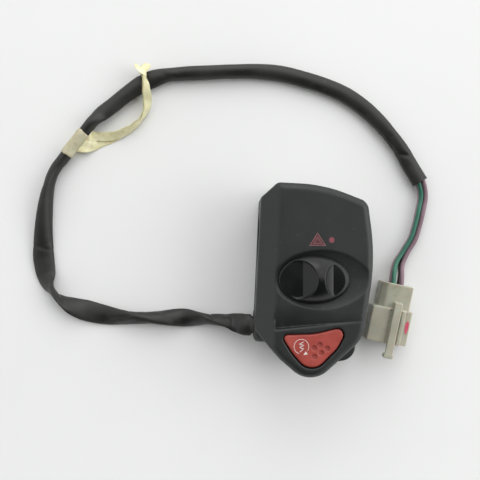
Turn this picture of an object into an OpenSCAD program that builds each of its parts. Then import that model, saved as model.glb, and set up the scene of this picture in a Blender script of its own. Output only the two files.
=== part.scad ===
/* [Handlebar] */
// Diameter of the handlebar that the two covers clamp
bar_d = 22.2; // [22:0.1:22.4]

/* [Housing] */
// Depth of the front cover, from the split to the face
front_depth = 22; // [21.6:0.2:24]
// Depth of the rear cover, from the split to the back
rear_depth = 16; // [15.6:0.2:19]
// Reach of the housing to the left of its middle
cover_left = 23.6; // [23.2:0.2:25]
// Reach of the housing to the right of its middle
cover_right = 24.7; // [24.3:0.2:26]
// Reach of the housing above the handlebar's axis
cover_top = 22.6; // [22:0.2:24]
// Reach of the housing's point below the button
tip_margin = 12.8; // [12.4:0.1:14]
// Thickness of the side walls
wall = 2.4; // [2.2:0.1:2.6]
// Thickness of the face and the back
face_wall = 3.2; // [2.8:0.1:3.4]
// Radius along the edge of the face
edge_r = 3; // [2:0.5:4]
// Radius along the edge of the back
back_edge_r = 2.5; // [1.5:0.5:3]
// Width of the sloping left flank
flank_w = 9.4; // [7:0.2:10]
// Height of the sloping left flank
flank_h = 8; // [5:0.5:9]
// Depth of the thumb valley between the two switches
valley_depth = 2; // [0.8:0.1:2.2]
// Thickness of the ribs that hold the handlebar
rib_t = 2.5; // [2:0.1:3]

/* [Slide switch] */
// Distance of the slide knob below the handlebar's axis
slide_drop = 16.6; // [16.4:0.1:17]
// Travel of the slide knob
slide_travel = 6; // [5:0.2:6.2]
// Length of the knob along the handlebar
knob_l = 28.6; // [26:0.2:29]
// Width of the knob
knob_w = 19.4; // [18:0.2:20]
// Height of the knob's dome above its rim
dome_h = 5.6; // [4.5:0.1:6.5]
// Depth of the dish that the knob slides in
dish_depth = 5; // [4.6:0.1:5.4]
// Width of the ridge between the two thumb scoops
ridge_w = 2.1; // [1.5:0.1:3]
// Distance of the ridge to the right of the knob's middle
ridge_x = 2.3; // [2:0.1:3.4]
// Length of the left thumb scoop
left_scoop_l = 16; // [15:0.2:18]
// Length of the right thumb scoop
right_scoop_l = 14.4; // [12:0.2:16]

/* [Start button] */
// Distance of the button's plunger below the handlebar's axis
button_drop = 43.5; // [43.2:0.1:44]
// Travel of the button
button_travel = 2.5; // [1.5:0.1:2.8]
// Depth of the button's top below the face
button_sink = 0.5; // [0.2:0.1:1]
// Diameter of the plunger
plunger_d = 5.6; // [5:0.1:6]
// Diameter of the five dimples in the button
dimple_d = 2.2; // [1.6:0.1:2.6]

/* [Screws] */
// Shank diameter of the housing screws
housing_screw_d = 4; // [3.6:0.1:4.2]
// Head diameter of the housing screws
housing_head_d = 6.2; // [5.8:0.1:6.4]
// Shank diameter of the small screws inside
small_screw_d = 2; // [1.8:0.1:2.2]

/* [Cable] */
// Play of the four wires inside the sleeve
sleeve_play = 0.2; // [0.1:0.05:0.4]
// Thickness of the sleeve's wall
sleeve_wall = 0.8; // [0.6:0.1:0.9]
// Diameter of each wire
wire_d = 2; // [1.8:0.05:2.1]
// Length of the tape band along the sleeve
band_l = 14; // [8:1:15]
// Width of the tape's tail
tail_w = 9; // [6:0.5:12]

/* [Connector] */
// Length of the connector housing
plug_l = 26.5; // [25:0.5:30]
// Width of the connector's shroud
plug_w = 18.6; // [17.6:0.2:20]
// Height of the connector's shroud
plug_h = 12.4; // [12:0.2:13.4]
// Thickness of the shroud's walls
plug_wall = 1.6; // [1.2:0.1:1.8]
// Width of the latch lever
latch_w = 3.4; // [2.6:0.2:4]

/* [Hidden] */
bar_r = bar_d / 2;
face_z = front_depth;
back_z = -rear_depth;
eps = 0.02;
rib_spots = [-11, 8.5];
// Running clearance between pieces that slide on each other
slide_gap = 0.1;
// Clearance round a fastener or a seated piece
seat_gap = 0.05;
// Clearance between the knob or the button and the opening round it
show_gap = 0.4;
round_fn = 48;
oval_fn = 40;
least_r = 0.4;

// Plan of the covers: corners [x, y, radius], clockwise from the left shoulder
left_lean = 2.5;
shoulder_drop = 6;
crest_in = 9.4;
tip_r = 10.3;
tip_over = 3.5;
top_right_drop = 8;
cover_drop = button_drop + tip_margin;
low_corner = cover_drop - 18.7;
outline_corners = [
    [-cover_left + left_lean, cover_top - shoulder_drop, 1.5],
    [-cover_left + crest_in, cover_top, 3],
    [4.4, cover_top - 1, 60],
    [cover_right - 2.6, cover_top - top_right_drop, 5],
    [cover_right + 0.3, -8, 90],
    [cover_right - 4.4, -low_corner - 2.8, 14],
    [-1, -cover_drop - tip_over, tip_r],
    [-cover_left + 10, -low_corner - 11.4, 16],
    [-cover_left, -low_corner, 2.5]
];

// Housing screws: one above the handlebar, two below it
screw_spots = [
    [-5, cover_top - 6.2],
    [-cover_left + 6.2, -slide_drop - 9.4],
    [cover_right - 8.2, -slide_drop - 15.4]
];
housing_screw_r = housing_screw_d / 2;
housing_head_r = housing_head_d / 2;
housing_head_h = 2.4;
head_depth = 4.2;
boss_r = housing_screw_r + 1.6;
screw_reach = 12;
tower_r = housing_head_r + 1.4;
small_r = small_screw_d / 2;
small_head_r = small_r + 1.1;
small_head_h = 1.2;
small_boss_r = small_r + 1.6;
small_bite = 6;

// Slide switch, measured down from the face
slide_x = 0.2;
slide_y = -slide_drop;
dish_x = slide_x + slide_travel / 2 + 0.5;
dish_z = face_z - dish_depth;
dish_l = knob_l + slide_travel + 4.2;
dish_w = knob_w + 3.8;
dish_wall = 2;
// Share by which the dish is shallower on its right and deeper on its left
dish_lean = 0.15;
knob_rim_h = 1;
knob_belly_h = 2.2;
knob_rim_drop = 1.2;
knob_rim_z = face_z - knob_rim_drop;
dome_z = knob_rim_z + knob_rim_h;
knob_top_z = dome_z + dome_h;
scoop_floor = dome_z - 0.8;
scoop_top = knob_top_z + 0.4;
left_scoop_w = 0.8 * knob_w;
right_scoop_w = 0.72 * knob_w;
// How square the scoops' walls are, and by how much less beside the ridge
scoop_square = 8;
scoop_ease = 5;
stem_l = 6;
stem_w = 4;
guide_z = dish_z - 6;
guide_wall = 3;
carrier_l = 14.4;
carrier_w = 10;
carrier_h = 4.5;
carrier_y = slide_y - 1.9;
carrier_top = guide_z - slide_gap;
carrier_z = carrier_top - carrier_h;
stem_end = carrier_top - 2.1;
socket_gap = seat_gap;
contact_pitch = slide_travel;
contact_r = 1.5;
contact_head_h = 0.6;
tail_l = 0.8;
base_top = carrier_z - 2.4;
base_t = 2;
base_z = base_top - base_t;
base_left = 13.2;
base_right = 19;
base_edge = 4;
base_low = 10;
rib_low = slide_y + base_edge + show_gap;
base_screws = [slide_x - 10.8, slide_x + 16.2];
bridge_t = 0.6;
bridge_l = contact_pitch + 4.4;
bridge_w = 3.4;
bridge_z = base_top + contact_head_h + seat_gap;
spring_pocket_r = 1.55;
spring_pocket_h = 2;
bridge_spring_r = 1.1;
bridge_spring_wire = 0.36;
spring_spread = 3.7;
ball_r = 1.2;
ball_z = carrier_z + 2.3;
ball_pocket_l = 4;
rail_y = carrier_y - carrier_w / 2 - 0.5;
rail_t = 2.4;
rail_h = 6;
notch_r = 1.3;
notch_depth = 0.4;
ball_y = rail_y + seat_gap + ball_r;

// Ramp above the button: how far it turns with the button and how fast it fades, in degrees
flank_turn = -2;
valley_left = -cover_left + flank_w - 1.3;
valley_turn = 5;
valley_fade = 2;

// Start button, measured down from the face
button_x = -0.4;
button_y = -button_drop;
button_corners = [
    [-12.8, 4.6, 1.6],
    [0.4, 4.9, 25],
    [14.6, 8.3, 2.6],
    [10, -0.7, 12],
    [-0.6, -11.4, 6.3],
    [-8.1, -3, 20]
];
dimple_spots = [[0.6, -0.7], [2.8, 0.6], [5.8, -0.9], [3.4, -2.7], [0.6, -4.2]];
dimple_depth = 0.4;
cap_top = face_z - button_sink;
cap_t = 2;
cap_edge = 0.8;
skirt_t = 1.3;
collar_h = 6;
collar_t = 1.5;
collar_z = face_z - collar_h;
flange_out = 0.9;
flange_low = 1;
flange_t = 1.4;
flange_z = collar_z - seat_gap - flange_t;
button_low = flange_z - button_travel - slide_gap;
plunger_r = plunger_d / 2;
plunger_x = button_x - 0.6;
plunger_y = button_y - 1.4;
block_drop = 14;
block_top = face_z - block_drop;
block_guide_t = 2.5;
block_l = 18;
block_w = 9;
post_t = 1.6;
shoulder_z = block_top - block_guide_t - 1.4;
push_bridge_t = 0.6;
push_bridge_l = 13;
push_bridge_w = 5;
clip_t = 0.6;
clip_r = 2.5;
neck_r = plunger_r - 1.3;
push_bridge_z = shoulder_z - push_bridge_t - seat_gap;
clip_z = push_bridge_z - clip_t - seat_gap;
neck_end = clip_z - 0.8;
push_contact_top = push_bridge_z - button_travel - seat_gap;
push_contact_h = 0.7;
push_contact_r = 1.4;
push_contact_spread = 5;
floor_top = push_contact_top - push_contact_h;
floor_t = 2.2;
floor_z = floor_top - floor_t;
ear_spread = 6.5;
ear_rise = 10.7;
ear_y = min(button_y + ear_rise, slide_y - base_low - small_boss_r - show_gap);
return_spring_r = plunger_r + 1.1;
return_spring_wire = 0.6;
return_seat = cap_top - cap_t;

// Cable outlet at the lower left corner
wire_r = wire_d / 2;
pair = wire_r + seat_gap;
sleeve_r = pair * sqrt(2) + wire_r + sleeve_play + sleeve_wall;
outlet_y = -low_corner - 1;
outlet_rise = 8;
outlet_z = back_z + outlet_rise;
grommet_t = 1.6;
grommet_r = sleeve_r + seat_gap + grommet_t;
spout_r = grommet_r + seat_gap + 2.2;
spout_left = -cover_left - 0.2;
spout_l = 12;
spout_right = spout_left + spout_l;
grommet_flange_t = 1.4;
grommet_flange_r = grommet_r + 1.2;
lug_corners = [
    [8, -low_corner - 6.4, 1],
    [cover_right - 3.8, -low_corner - 5.4, 3],
    [cover_right - 4, -low_corner - 15.2, 4],
    [13, -low_corner - 16.4, 2],
    [9, -low_corner - 12.6, 1]
];
lug_h = 11;

// Sleeve: route of its middle, [x, y, height above the table]
sleeve_in = spout_right + grommet_flange_t + 1.2;
rest = sleeve_r + eps;
low_run = outlet_y + 2.6;
tape_t = 0.4;
band_lift = tape_t + 0.1;
route = [
    [sleeve_in, outlet_y, outlet_rise],
    [spout_left - 1.5, outlet_y, outlet_rise],
    [-30, low_run - 2, rest + 3],
    [-36, low_run - 1, rest + 0.8],
    [-46, low_run - 0.5, rest],
    [-57, low_run, rest],
    [-68, low_run, rest],
    [-79, low_run, rest],
    [-90, low_run + 1, rest],
    [-99, low_run + 3, rest],
    [-106, low_run + 5.5, rest],
    [-112, low_run + 9.5, rest],
    [-116, low_run + 14.5, rest],
    [-118, low_run + 20.5, rest],
    [-119, -8.5, rest],
    [-119, -1, rest],
    [-118.5, 7.5, rest],
    [-117.5, 16, rest],
    [-116, 24, rest],
    [-113.5, 31, rest + band_lift / 2],
    [-109, 37, rest + band_lift],
    [-99.5, 49, rest + band_lift],
    [-94, 55, rest + band_lift / 2],
    [-87, 60.5, rest],
    [-80, 66, rest],
    [-73, 70.5, rest],
    [-65, 73.5, rest],
    [-56, 74.5, rest],
    [-45, 75, rest],
    [-33, 75.5, rest],
    [-21.5, 75.5, rest],
    [-10.5, 74.5, rest],
    [-0.5, 72, rest],
    [9, 69, rest],
    [18, 65, rest],
    [26, 59.5, rest],
    [33, 53, rest],
    [39, 46, rest],
    [44, 39, rest],
    [48, 32, rest],
    [52, 25.5, rest]
];
route_world = [for (p = route) [p.x, p.y, p.z + back_z]];

// Wires: middle of the four, [x, y, half the spread of the pairs]
fan = 1.8;
wire_low = wire_r + eps;
// How far below the cells the wires still are at their last two points
rise_left = [0, 1.2];

// Leads inside: first bend from each rivet tail, later bends from the sleeve's inner end
lead_gap = 0.2 + wire_r / 2;
lead_straight = 2.5;
lead_drops = [[-0.7, -2.5, -2.5], [-0.7, -2.5, -2.5], [0.4, 1.5, -1.8], [-0.6, 0.5, -2]];
lead_bends = [
    [[5.1, 9.6, 2.5], [4.1, 3.6, 1.1]],
    [[9.6, 9.6, 1], [6.6, 3.1, -0.9]],
    [[3.7, -2, 1.6]],
    [[9.1, -4.4, 0], [5.6, -2.4, -1]]
];
wire_route = [
    [50, 28.5, pair],
    [52, 25.5, pair],
    [53.5, 19.5, pair],
    [52.5, 13, pair],
    [51, 6.5, pair],
    [49, 0, pair],
    [45.5, -6, pair],
    [42.5, -11.5, pair + 0.4],
    [41.2, -16, fan],
    [40.6, -20.5, fan]
];

// Connector, in its own frame: y from the wire end to the mouth, z up from the table
plug_spot = [40.4, -20.4, back_z];
plug_turn = 168;
rear_l = 11;
rear_side = 2.4;
rear_drop = 1;
cavity_depth = 12;
cell_z = plug_h / 2;
cell_rise = 2.5;
cell_r = wire_r + 0.15;
crimp_r = wire_r - 0.15;
crimp_start = 4;
crimp_end = 9;
wire_end = crimp_start - 0.1;
tab_w = 2.8;
tab_t = 0.8;
tab_recess = 5.5;
step_w = 3.6;
step_drop = 3.4;
latch_x = -1.2;
latch_t = 1.5;
latch_gap = 0.8;
latch_foot = 3;
latch_over = 6;
latch_hook_l = 1.8;
latch_hook_h = 2;

// Masking tape, [x, y, height, turn about the strip's own line, share of the width]
band_at = 20;
over = rest + sleeve_r;
tail_route = [
    [-102.5, 42.4, over + 1.3, 0, 0.5],
    [-99.3, 42, over + 1, 0, 0.5],
    [-96.4, 42.2, over - 0.3, 0, 0.5],
    [-93.6, 43, over - 3.6, 0, 0.55],
    [-90.8, 44.4, 1.2, 0, 0.55],
    [-87, 46.3, 0.4, 10, 0.5],
    [-83, 48.4, 0.4, 25, 0.45],
    [-78.5, 51, 0.4, 45, 0.4],
    [-75, 54.5, 0.6, 60, 0.4],
    [-72.8, 58.5, 1.6, 45, 0.4],
    [-71.8, 62.5, over - 3, 20, 0.4],
    [-71.8, 66.5, over - 0.2, 5, 0.35],
    [-72.3, 69.5, over + 0.4, 0, 0.3],
    [-73, 72.5, over + 0.3, 0, 0.3],
    [-73.8, 75.5, over - 1.2, 0, 0.4],
    [-74.4, 78, over - 3, 0, 0.6]
];

function unit(v) = v / norm(v);

function flat(p) = [p.x, p.y];

// Closed outline with each corner [x, y, radius] rounded by an arc
function rounded(corners, steps = 6) =
    let (n = len(corners))
    [for (i = [0 : n - 1])
        let (
            corner = flat(corners[i]),
            back = unit(flat(corners[(i + n - 1) % n]) - corner),
            ahead = unit(flat(corners[(i + 1) % n]) - corner),
            half = acos(back * ahead) / 2,
            turn = 180 - 2 * half,
            r = corners[i].z,
            middle = corner + unit(back + ahead) * r / sin(half),
            from = corner + back * r / tan(half) - middle,
            to = corner + ahead * r / tan(half) - middle
        )
        for (k = [0 : steps])
            let (t = k / steps)
            middle + (from * sin((1 - t) * turn) + to * sin(t * turn)) / sin(turn)
    ];

// Corners of a clockwise outline drawn in by a margin, or out where it is negative
function inset(corners, d) =
    let (n = len(corners))
    [for (i = [0 : n - 1])
        let (
            corner = flat(corners[i]),
            come = unit(corner - flat(corners[(i + n - 1) % n])),
            go = unit(flat(corners[(i + 1) % n]) - corner),
            normal = [come.y + go.y, -come.x - go.x],
            bend = come.x * go.y - come.y * go.x,
            moved = corner + normal * d / (1 + come * go)
        )
        [moved.x, moved.y, max(corners[i].z + (bend > 0 ? d : -d), least_r)]
    ];

// Closed outline at a height
function level(corners, d, z) = [for (p = rounded(inset(corners, d))) [p.x, p.y, z]];

function oval(l, w, z) =
    [for (i = [0 : oval_fn - 1])
        [l / 2 * cos(-360 * i / oval_fn), w / 2 * sin(-360 * i / oval_fn), z]];

// Oval drawn out to a soft point on its right
function eye(l, w, z) =
    [for (i = [0 : oval_fn - 1])
        let (a = -360 * i / oval_fn, thin = cos(a) > 0 ? pow(abs(sin(a)), 0.4) : 1)
        [l / 2 * cos(a), w / 2 * sin(a) * thin, z]];

function turned(v, a) = [v.x * cos(a) - v.y * sin(a), v.x * sin(a) + v.y * cos(a)];

// Point of the connector's own frame, placed in the part
function at_plug(p) =
    let (q = turned(p, plug_turn))
    [q.x + plug_spot.x, q.y + plug_spot.y, p.z + plug_spot.z];

function heading(path, i) =
    let (last = len(path) - 1)
    unit(path[min(i + 1, last)] - path[max(i - 1, 0)]);

// Directions across a path at a point: [sideways, upwards]
function across(path, i) =
    let (
        ahead = heading(path, i),
        side = unit(cross(ahead, [0, 0, 1]))
    )
    [side, cross(side, ahead)];

// Ring of points round a path
function ring_at(path, i, r, sides) =
    let (axes = across(path, i))
    [for (s = [0 : sides - 1])
        path[i] + r * (axes[0] * cos(360 * s / sides) + axes[1] * sin(360 * s / sides))];

function skin(rings, sides) =
    [for (i = [0 : rings - 2]) for (s = [0 : sides - 1])
        let (t = (s + 1) % sides)
        each [
            [i * sides + s, i * sides + t, (i + 1) * sides + t],
            [i * sides + s, (i + 1) * sides + t, (i + 1) * sides + s]
        ]];

// Solid cord along a path
module cord(path, r, sides = 8) {
    rings = len(path);
    polyhedron(
        points = [for (i = [0 : rings - 1]) each ring_at(path, i, r, sides)],
        faces = concat(
            [[for (s = [sides - 1 : -1 : 0]) s]],
            skin(rings, sides),
            [[for (s = [0 : sides - 1]) (rings - 1) * sides + s]]
        ),
        convexity = 10
    );
}

// Hollow cord along a path
module tube(path, r, inner, sides) {
    rings = len(path);
    half = rings * sides;
    inside = [for (f = skin(rings, sides)) [for (k = [2 : -1 : 0]) f[k] + half]];
    rims = [for (s = [0 : sides - 1])
        let (t = (s + 1) % sides, e = (rings - 1) * sides)
        each [
            [s, half + s, half + t, t],
            [e + s, e + t, half + e + t, half + e + s]
        ]];
    polyhedron(
        points = concat(
            [for (i = [0 : rings - 1]) each ring_at(path, i, r, sides)],
            [for (i = [0 : rings - 1]) each ring_at(path, i, inner, sides)]
        ),
        faces = concat(skin(rings, sides), inside, rims),
        convexity = 10
    );
}

// Coil spring standing on z = 0
module coil(r, wire, height, turns) {
    per_turn = 8;
    rings = per_turn * turns + 1;
    rise = (height - wire) / (rings - 1);
    cord([for (i = [0 : rings - 1])
        let (a = 360 * i / per_turn)
        [r * cos(a), r * sin(a), wire / 2 + rise * i]], wire / 2, 6);
}

// Solid through a stack of rings with as many points each
module loft(rings) {
    sides = len(rings[0]);
    polyhedron(
        points = [for (r = rings) each r],
        faces = concat(
            [[for (s = [sides - 1 : -1 : 0]) s]],
            skin(len(rings), sides),
            [[for (s = [0 : sides - 1]) (len(rings) - 1) * sides + s]]
        ),
        convexity = 10
    );
}

// Plan outline drawn out by a margin, or in where it is negative
module plan(corners, out = 0) {
    polygon(rounded(inset(corners, -out)));
}

// Prism on a plan whose upper edge is rounded
module soft_prism(corners, h, r, steps = 4) {
    loft(concat([level(corners, 0, 0)],
        [for (i = [0 : steps])
            let (a = 90 * i / steps)
            level(corners, r * (1 - cos(a)), h - r + r * sin(a))]));
}

// Bowl below z = 0, with a straight rim above it
module bowl(l, w, depth, rim = 1, steps = 7) {
    loft(concat([for (i = [steps : -1 : 0])
        let (a = 86 * i / steps)
        [for (p = eye(l * cos(a), w * cos(a), -depth * sin(a)))
            [p.x, p.y, p.z * (1 - 2 * dish_lean * p.x / l)]]],
        [eye(l, w, rim)]));
}

// Oval body: a dome above a straight rim, with a shallower belly below it
module egg(l, w, up, rim, down, steps = 7) {
    loft(concat(
        [for (i = [3 : -1 : 0])
            let (a = 84 * i / 3)
            oval(l * cos(a), w * cos(a), -rim - down * sin(a))],
        [for (i = [0 : steps])
            let (a = 87 * i / steps)
            oval(l * cos(a), w * cos(a), up * sin(a))]));
}

module along_x(x, y, z, l, r) {
    translate([x, y, z]) rotate([0, 90, 0]) cylinder(h = l, r = r, $fn = round_fn);
}

module along_y(x, y, z, l, r) {
    translate([x, y, z]) rotate([-90, 0, 0]) cylinder(h = l, r = r, $fn = round_fn);
}

module along_z(x, y, z, l, r) {
    translate([x, y, z]) cylinder(h = l, r = r, $fn = round_fn);
}

module block(x0, x1, y0, y1, z0, z1) {
    translate([x0, y0, z0]) cube([x1 - x0, y1 - y0, z1 - z0]);
}

module bar_space() {
    along_x(-cover_left - 5, 0, 0, cover_left + cover_right + 10, bar_r);
}

// What lies beyond the sloping left flank, drawn in by a margin
module beyond_flank(inside = 0) {
    slope = flank_h / flank_w;
    drop = inside * sqrt(1 + pow(slope, 2));
    out = 6;
    crease = -cover_left + flank_w;
    rotate([0, 0, flank_turn])
        translate([0, cover_top + 5, 0]) rotate([90, 0, 0])
            linear_extrude(cover_top + cover_drop + 10)
                polygon([
                    [crease + drop / slope, face_z + 1],
                    [crease + drop / slope, face_z],
                    [crease - flank_w - out, face_z - flank_h - out * slope - drop],
                    [crease - flank_w - out, face_z + 1]
                ]);
}

module dish(out = 0) {
    translate([dish_x, slide_y, face_z])
        bowl(dish_l + 2 * out, dish_w + 2 * out, dish_depth + out);
}

module button_plan(out = 0) {
    translate([button_x, button_y]) plan(button_corners, out);
}

// Flange along the upper edge of the button, from one height to another
module flange(low, high, out = 0) {
    intersection() {
        translate([0, 0, low]) linear_extrude(high - low)
            button_plan(show_gap + flange_out + out);
        block(-cover_left, cover_right, button_y - flange_low - out, 0, 0, face_z);
    }
}

// Ramp that falls from the dish to a step along the button, and fades out to the right
module valley() {
    low_y = button_y + 7.2;
    ramp_l = slide_y - dish_w / 2 - show_gap - low_y;
    step_w = 0.6;
    above = 2 * valley_depth;
    translate([valley_left, low_y, face_z])
        rotate([0, -valley_fade, valley_turn]) rotate([90, 0, 90])
            linear_extrude(cover_left + cover_right)
                polygon([
                    [0, -valley_depth],
                    [2 * ramp_l, valley_depth],
                    [2 * ramp_l, above],
                    [-step_w, above],
                    [-step_w, 0]
                ]);
}

module front_shell() {
    difference() {
        soft_prism(outline_corners, front_depth, edge_r);
        beyond_flank();
        difference() {
            translate([0, 0, -1])
                linear_extrude(face_z - face_wall + 1) plan(outline_corners, -wall);
            beyond_flank(wall);
        }
    }
}

module front_inside() {
    for (s = screw_spots) {
        along_z(s.x, s.y, 0, face_z - face_wall + 1, boss_r);
    }
    for (x = rib_spots) {
        block(x, x + rib_t, rib_low, cover_top - wall / 2, 0, face_z - 1);
    }
    block(slide_x - stem_l / 2 - guide_wall, slide_x + stem_l / 2 + slide_travel + guide_wall,
        slide_y - stem_w / 2 - guide_wall, slide_y + stem_w / 2 + guide_wall / 2, guide_z, dish_z);
    for (x = base_screws) {
        along_z(x, carrier_y, base_top, face_z - face_wall - base_top + 1, small_boss_r);
    }
    for (s = [-1, 1]) {
        along_z(plunger_x + s * ear_spread, ear_y, block_top, face_z - face_wall - block_top + 1,
            small_boss_r);
    }
    translate([0, 0, collar_z]) linear_extrude(collar_h - 1) button_plan(show_gap + collar_t);
}

module front_cover() {
    slot = show_gap / 2;
    color("#30332f") difference() {
        intersection() {
            union() {
                front_shell();
                front_inside();
                dish(dish_wall);
            }
            difference() {
                soft_prism(outline_corners, front_depth, edge_r);
                beyond_flank();
            }
        }
        dish();
        block(slide_x - stem_l / 2 - slot, slide_x + stem_l / 2 + slide_travel + slot,
            slide_y - stem_w / 2 - slot, slide_y + stem_w / 2 + slot, guide_z - 1, dish_z + 1);
        valley();
        translate([0, 0, button_low]) linear_extrude(front_depth) button_plan(show_gap);
        flange(button_low, collar_z, show_gap / 2);
        bar_space();
        for (s = screw_spots) {
            along_z(s.x, s.y, -1, screw_reach + 2, housing_screw_r + seat_gap);
        }
        for (x = base_screws) {
            along_z(x, carrier_y, base_top - 1, small_bite + 2, small_r + seat_gap);
        }
        for (s = [-1, 1]) {
            along_z(plunger_x + s * ear_spread, ear_y, block_top - 1, small_bite + 2,
                small_r + seat_gap);
        }
    }
}

module rear_cover() {
    color("#2b2d2b") difference() {
        union() {
            difference() {
                mirror([0, 0, 1]) soft_prism(outline_corners, rear_depth, back_edge_r);
                translate([0, 0, back_z + face_wall])
                    linear_extrude(rear_depth) plan(outline_corners, -wall);
            }
            for (s = screw_spots) {
                along_z(s.x, s.y, back_z + 1, rear_depth - 1, tower_r);
            }
            intersection() {
                translate([0, 0, back_z + 1]) linear_extrude(rear_depth - 1)
                    plan(outline_corners, -wall / 2);
                for (x = rib_spots) {
                    block(x, x + rib_t, rib_low, cover_top, back_z, 0);
                }
            }
            intersection() {
                along_x(spout_left, outlet_y, outlet_z, spout_l, spout_r);
                block(spout_left, spout_right, outlet_y - spout_r, outlet_y + spout_r, back_z, 0);
            }
            difference() {
                translate([0, 0, back_z + back_edge_r]) linear_extrude(lug_h) plan(lug_corners);
                translate([0, 0, back_z + face_wall])
                    linear_extrude(rear_depth) plan(outline_corners, -wall);
            }
        }
        bar_space();
        for (s = screw_spots) {
            along_z(s.x, s.y, back_z - 1, rear_depth + 2, housing_screw_r + 2 * seat_gap);
            along_z(s.x, s.y, back_z - 1, head_depth + 1, housing_head_r + 0.2);
        }
        along_x(spout_left - 1, outlet_y, outlet_z, spout_l + 1 + eps, grommet_r + seat_gap);
        along_x(spout_right, outlet_y, outlet_z, 6, grommet_flange_r + seat_gap);
    }
}

module housing_screws() {
    head_z = back_z + head_depth - housing_head_h - seat_gap;
    color("#b9bcbd") for (s = screw_spots) {
        along_z(s.x, s.y, head_z, housing_head_h, housing_head_r);
        along_z(s.x, s.y, head_z + housing_head_h - eps, screw_reach - head_z - housing_head_h,
            housing_screw_r);
    }
}

module cable_grommet() {
    color("#1d1d1d") difference() {
        union() {
            along_x(spout_left, outlet_y, outlet_z, spout_l + grommet_flange_t, grommet_r);
            along_x(spout_right + seat_gap, outlet_y, outlet_z, grommet_flange_t - seat_gap,
                grommet_flange_r);
        }
        along_x(spout_left - 1, outlet_y, outlet_z, spout_l + grommet_flange_t + 2,
            sleeve_r + seat_gap);
    }
}

// Thumb scoop on one side of the knob's ridge: a round-bottomed hollow
function scoop_ring(side, l, w, deep, a) =
    [for (p = oval(1, 1, 0))
        let (
            ridge = max(-side * 2 * p.x, 0),
            power = 2 / (scoop_square - scoop_ease * pow(ridge, 2)),
            out = pow(cos(a), power)
        )
        [l * p.x * out, w * p.y * out, -deep * pow(sin(a), power)]];

module scoop(side, l, w, steps = 8) {
    deep = scoop_top - scoop_floor;
    translate([slide_x + ridge_x + side * (ridge_w + l) / 2, slide_y, scoop_top])
        loft(concat(
            [oval(l / 10, w / 10, -deep)],
            [for (i = [steps : -1 : 0]) scoop_ring(side, l, w, deep, 84 * i / steps)],
            [oval(l, w, deep)]));
}

module slide_knob() {
    color("#151616") difference() {
        union() {
            translate([slide_x, slide_y, dome_z])
                egg(knob_l, knob_w, dome_h, knob_rim_h, knob_belly_h);
            block(slide_x - stem_l / 2, slide_x + stem_l / 2, slide_y - stem_w / 2,
                slide_y + stem_w / 2, stem_end, knob_rim_z);
        }
        scoop(-1, left_scoop_l, left_scoop_w);
        scoop(1, right_scoop_l, right_scoop_w);
        along_z(slide_x, slide_y, stem_end - 1, small_bite, small_r + seat_gap);
    }
}

module slide_carrier() {
    color("#c9b48a") difference() {
        block(slide_x - carrier_l / 2, slide_x + carrier_l / 2, carrier_y - carrier_w / 2,
            carrier_y + carrier_w / 2, carrier_z, carrier_top);
        block(slide_x - stem_l / 2 - socket_gap, slide_x + stem_l / 2 + socket_gap,
            slide_y - stem_w / 2 - socket_gap, slide_y + stem_w / 2 + socket_gap,
            stem_end - socket_gap, carrier_top + 1);
        along_z(slide_x, slide_y, carrier_z - 1, carrier_h, small_r + seat_gap);
        along_z(slide_x, slide_y, carrier_z - 1, small_head_h + 1 + seat_gap,
            small_head_r + seat_gap);
        for (s = [-1, 1]) {
            along_z(slide_x + s * spring_spread, carrier_y, carrier_z - 1, spring_pocket_h + 1,
                spring_pocket_r);
        }
        along_y(slide_x, carrier_y - carrier_w / 2 - 1, ball_z, ball_pocket_l + 1,
            ball_r + seat_gap);
    }
}

module knob_screw() {
    color("#b9bcbd") {
        along_z(slide_x, slide_y, carrier_z, small_head_h, small_head_r);
        along_z(slide_x, slide_y, carrier_z + small_head_h - eps, small_bite, small_r);
    }
}

module slide_bridge() {
    color("#b89346") block(slide_x - bridge_l / 2, slide_x + bridge_l / 2,
        carrier_y - bridge_w / 2, carrier_y + bridge_w / 2, bridge_z, bridge_z + bridge_t);
}

module slide_bridge_springs() {
    foot = bridge_z + bridge_t;
    color("#b9bcbd") for (s = [-1, 1]) {
        translate([slide_x + s * spring_spread, carrier_y, foot])
            coil(bridge_spring_r, bridge_spring_wire, carrier_z + spring_pocket_h - foot, 3);
    }
}

module detent_ball() {
    color("#c8cacb") translate([slide_x, ball_y, ball_z]) sphere(r = ball_r, $fn = round_fn);
}

module detent_spring() {
    end_y = carrier_y - carrier_w / 2 + ball_pocket_l;
    color("#b9bcbd") translate([slide_x, end_y, ball_z]) rotate([90, 0, 0])
        coil(0.8, 0.36, end_y - ball_y - ball_r * 0.78, 2);
}

module slide_base() {
    rail_end = slide_x + slide_travel + 6;
    color("#8a5a33") difference() {
        union() {
            intersection() {
                block(slide_x - base_left, slide_x + base_right, slide_y - base_low,
                    slide_y + base_edge, base_z, base_top);
                translate([0, 0, base_z]) linear_extrude(base_t)
                    plan(outline_corners, -wall - show_gap);
            }
            block(slide_x - 6, rail_end, rail_y - rail_t, rail_y, base_top - eps, base_top + rail_h);
        }
        for (x = [0, slide_travel]) {
            along_z(slide_x + x, rail_y + notch_r - notch_depth, base_top, rail_h + 1, notch_r);
        }
        for (x = base_screws) {
            along_z(x, carrier_y, base_z - 1, base_t + 2, small_r + seat_gap);
        }
        for (k = [0 : 2]) {
            along_z(slide_x + (k - 0.5) * contact_pitch, carrier_y, base_z - 1, base_t + 2,
                contact_r / 2 + seat_gap);
        }
    }
}

module slide_contacts() {
    color("#b89346") for (k = [0 : 2]) {
        x = slide_x + (k - 0.5) * contact_pitch;
        along_z(x, carrier_y, base_top, contact_head_h, contact_r);
        along_z(x, carrier_y, base_z - tail_l, base_t + tail_l + eps, contact_r / 2);
    }
}

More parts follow.
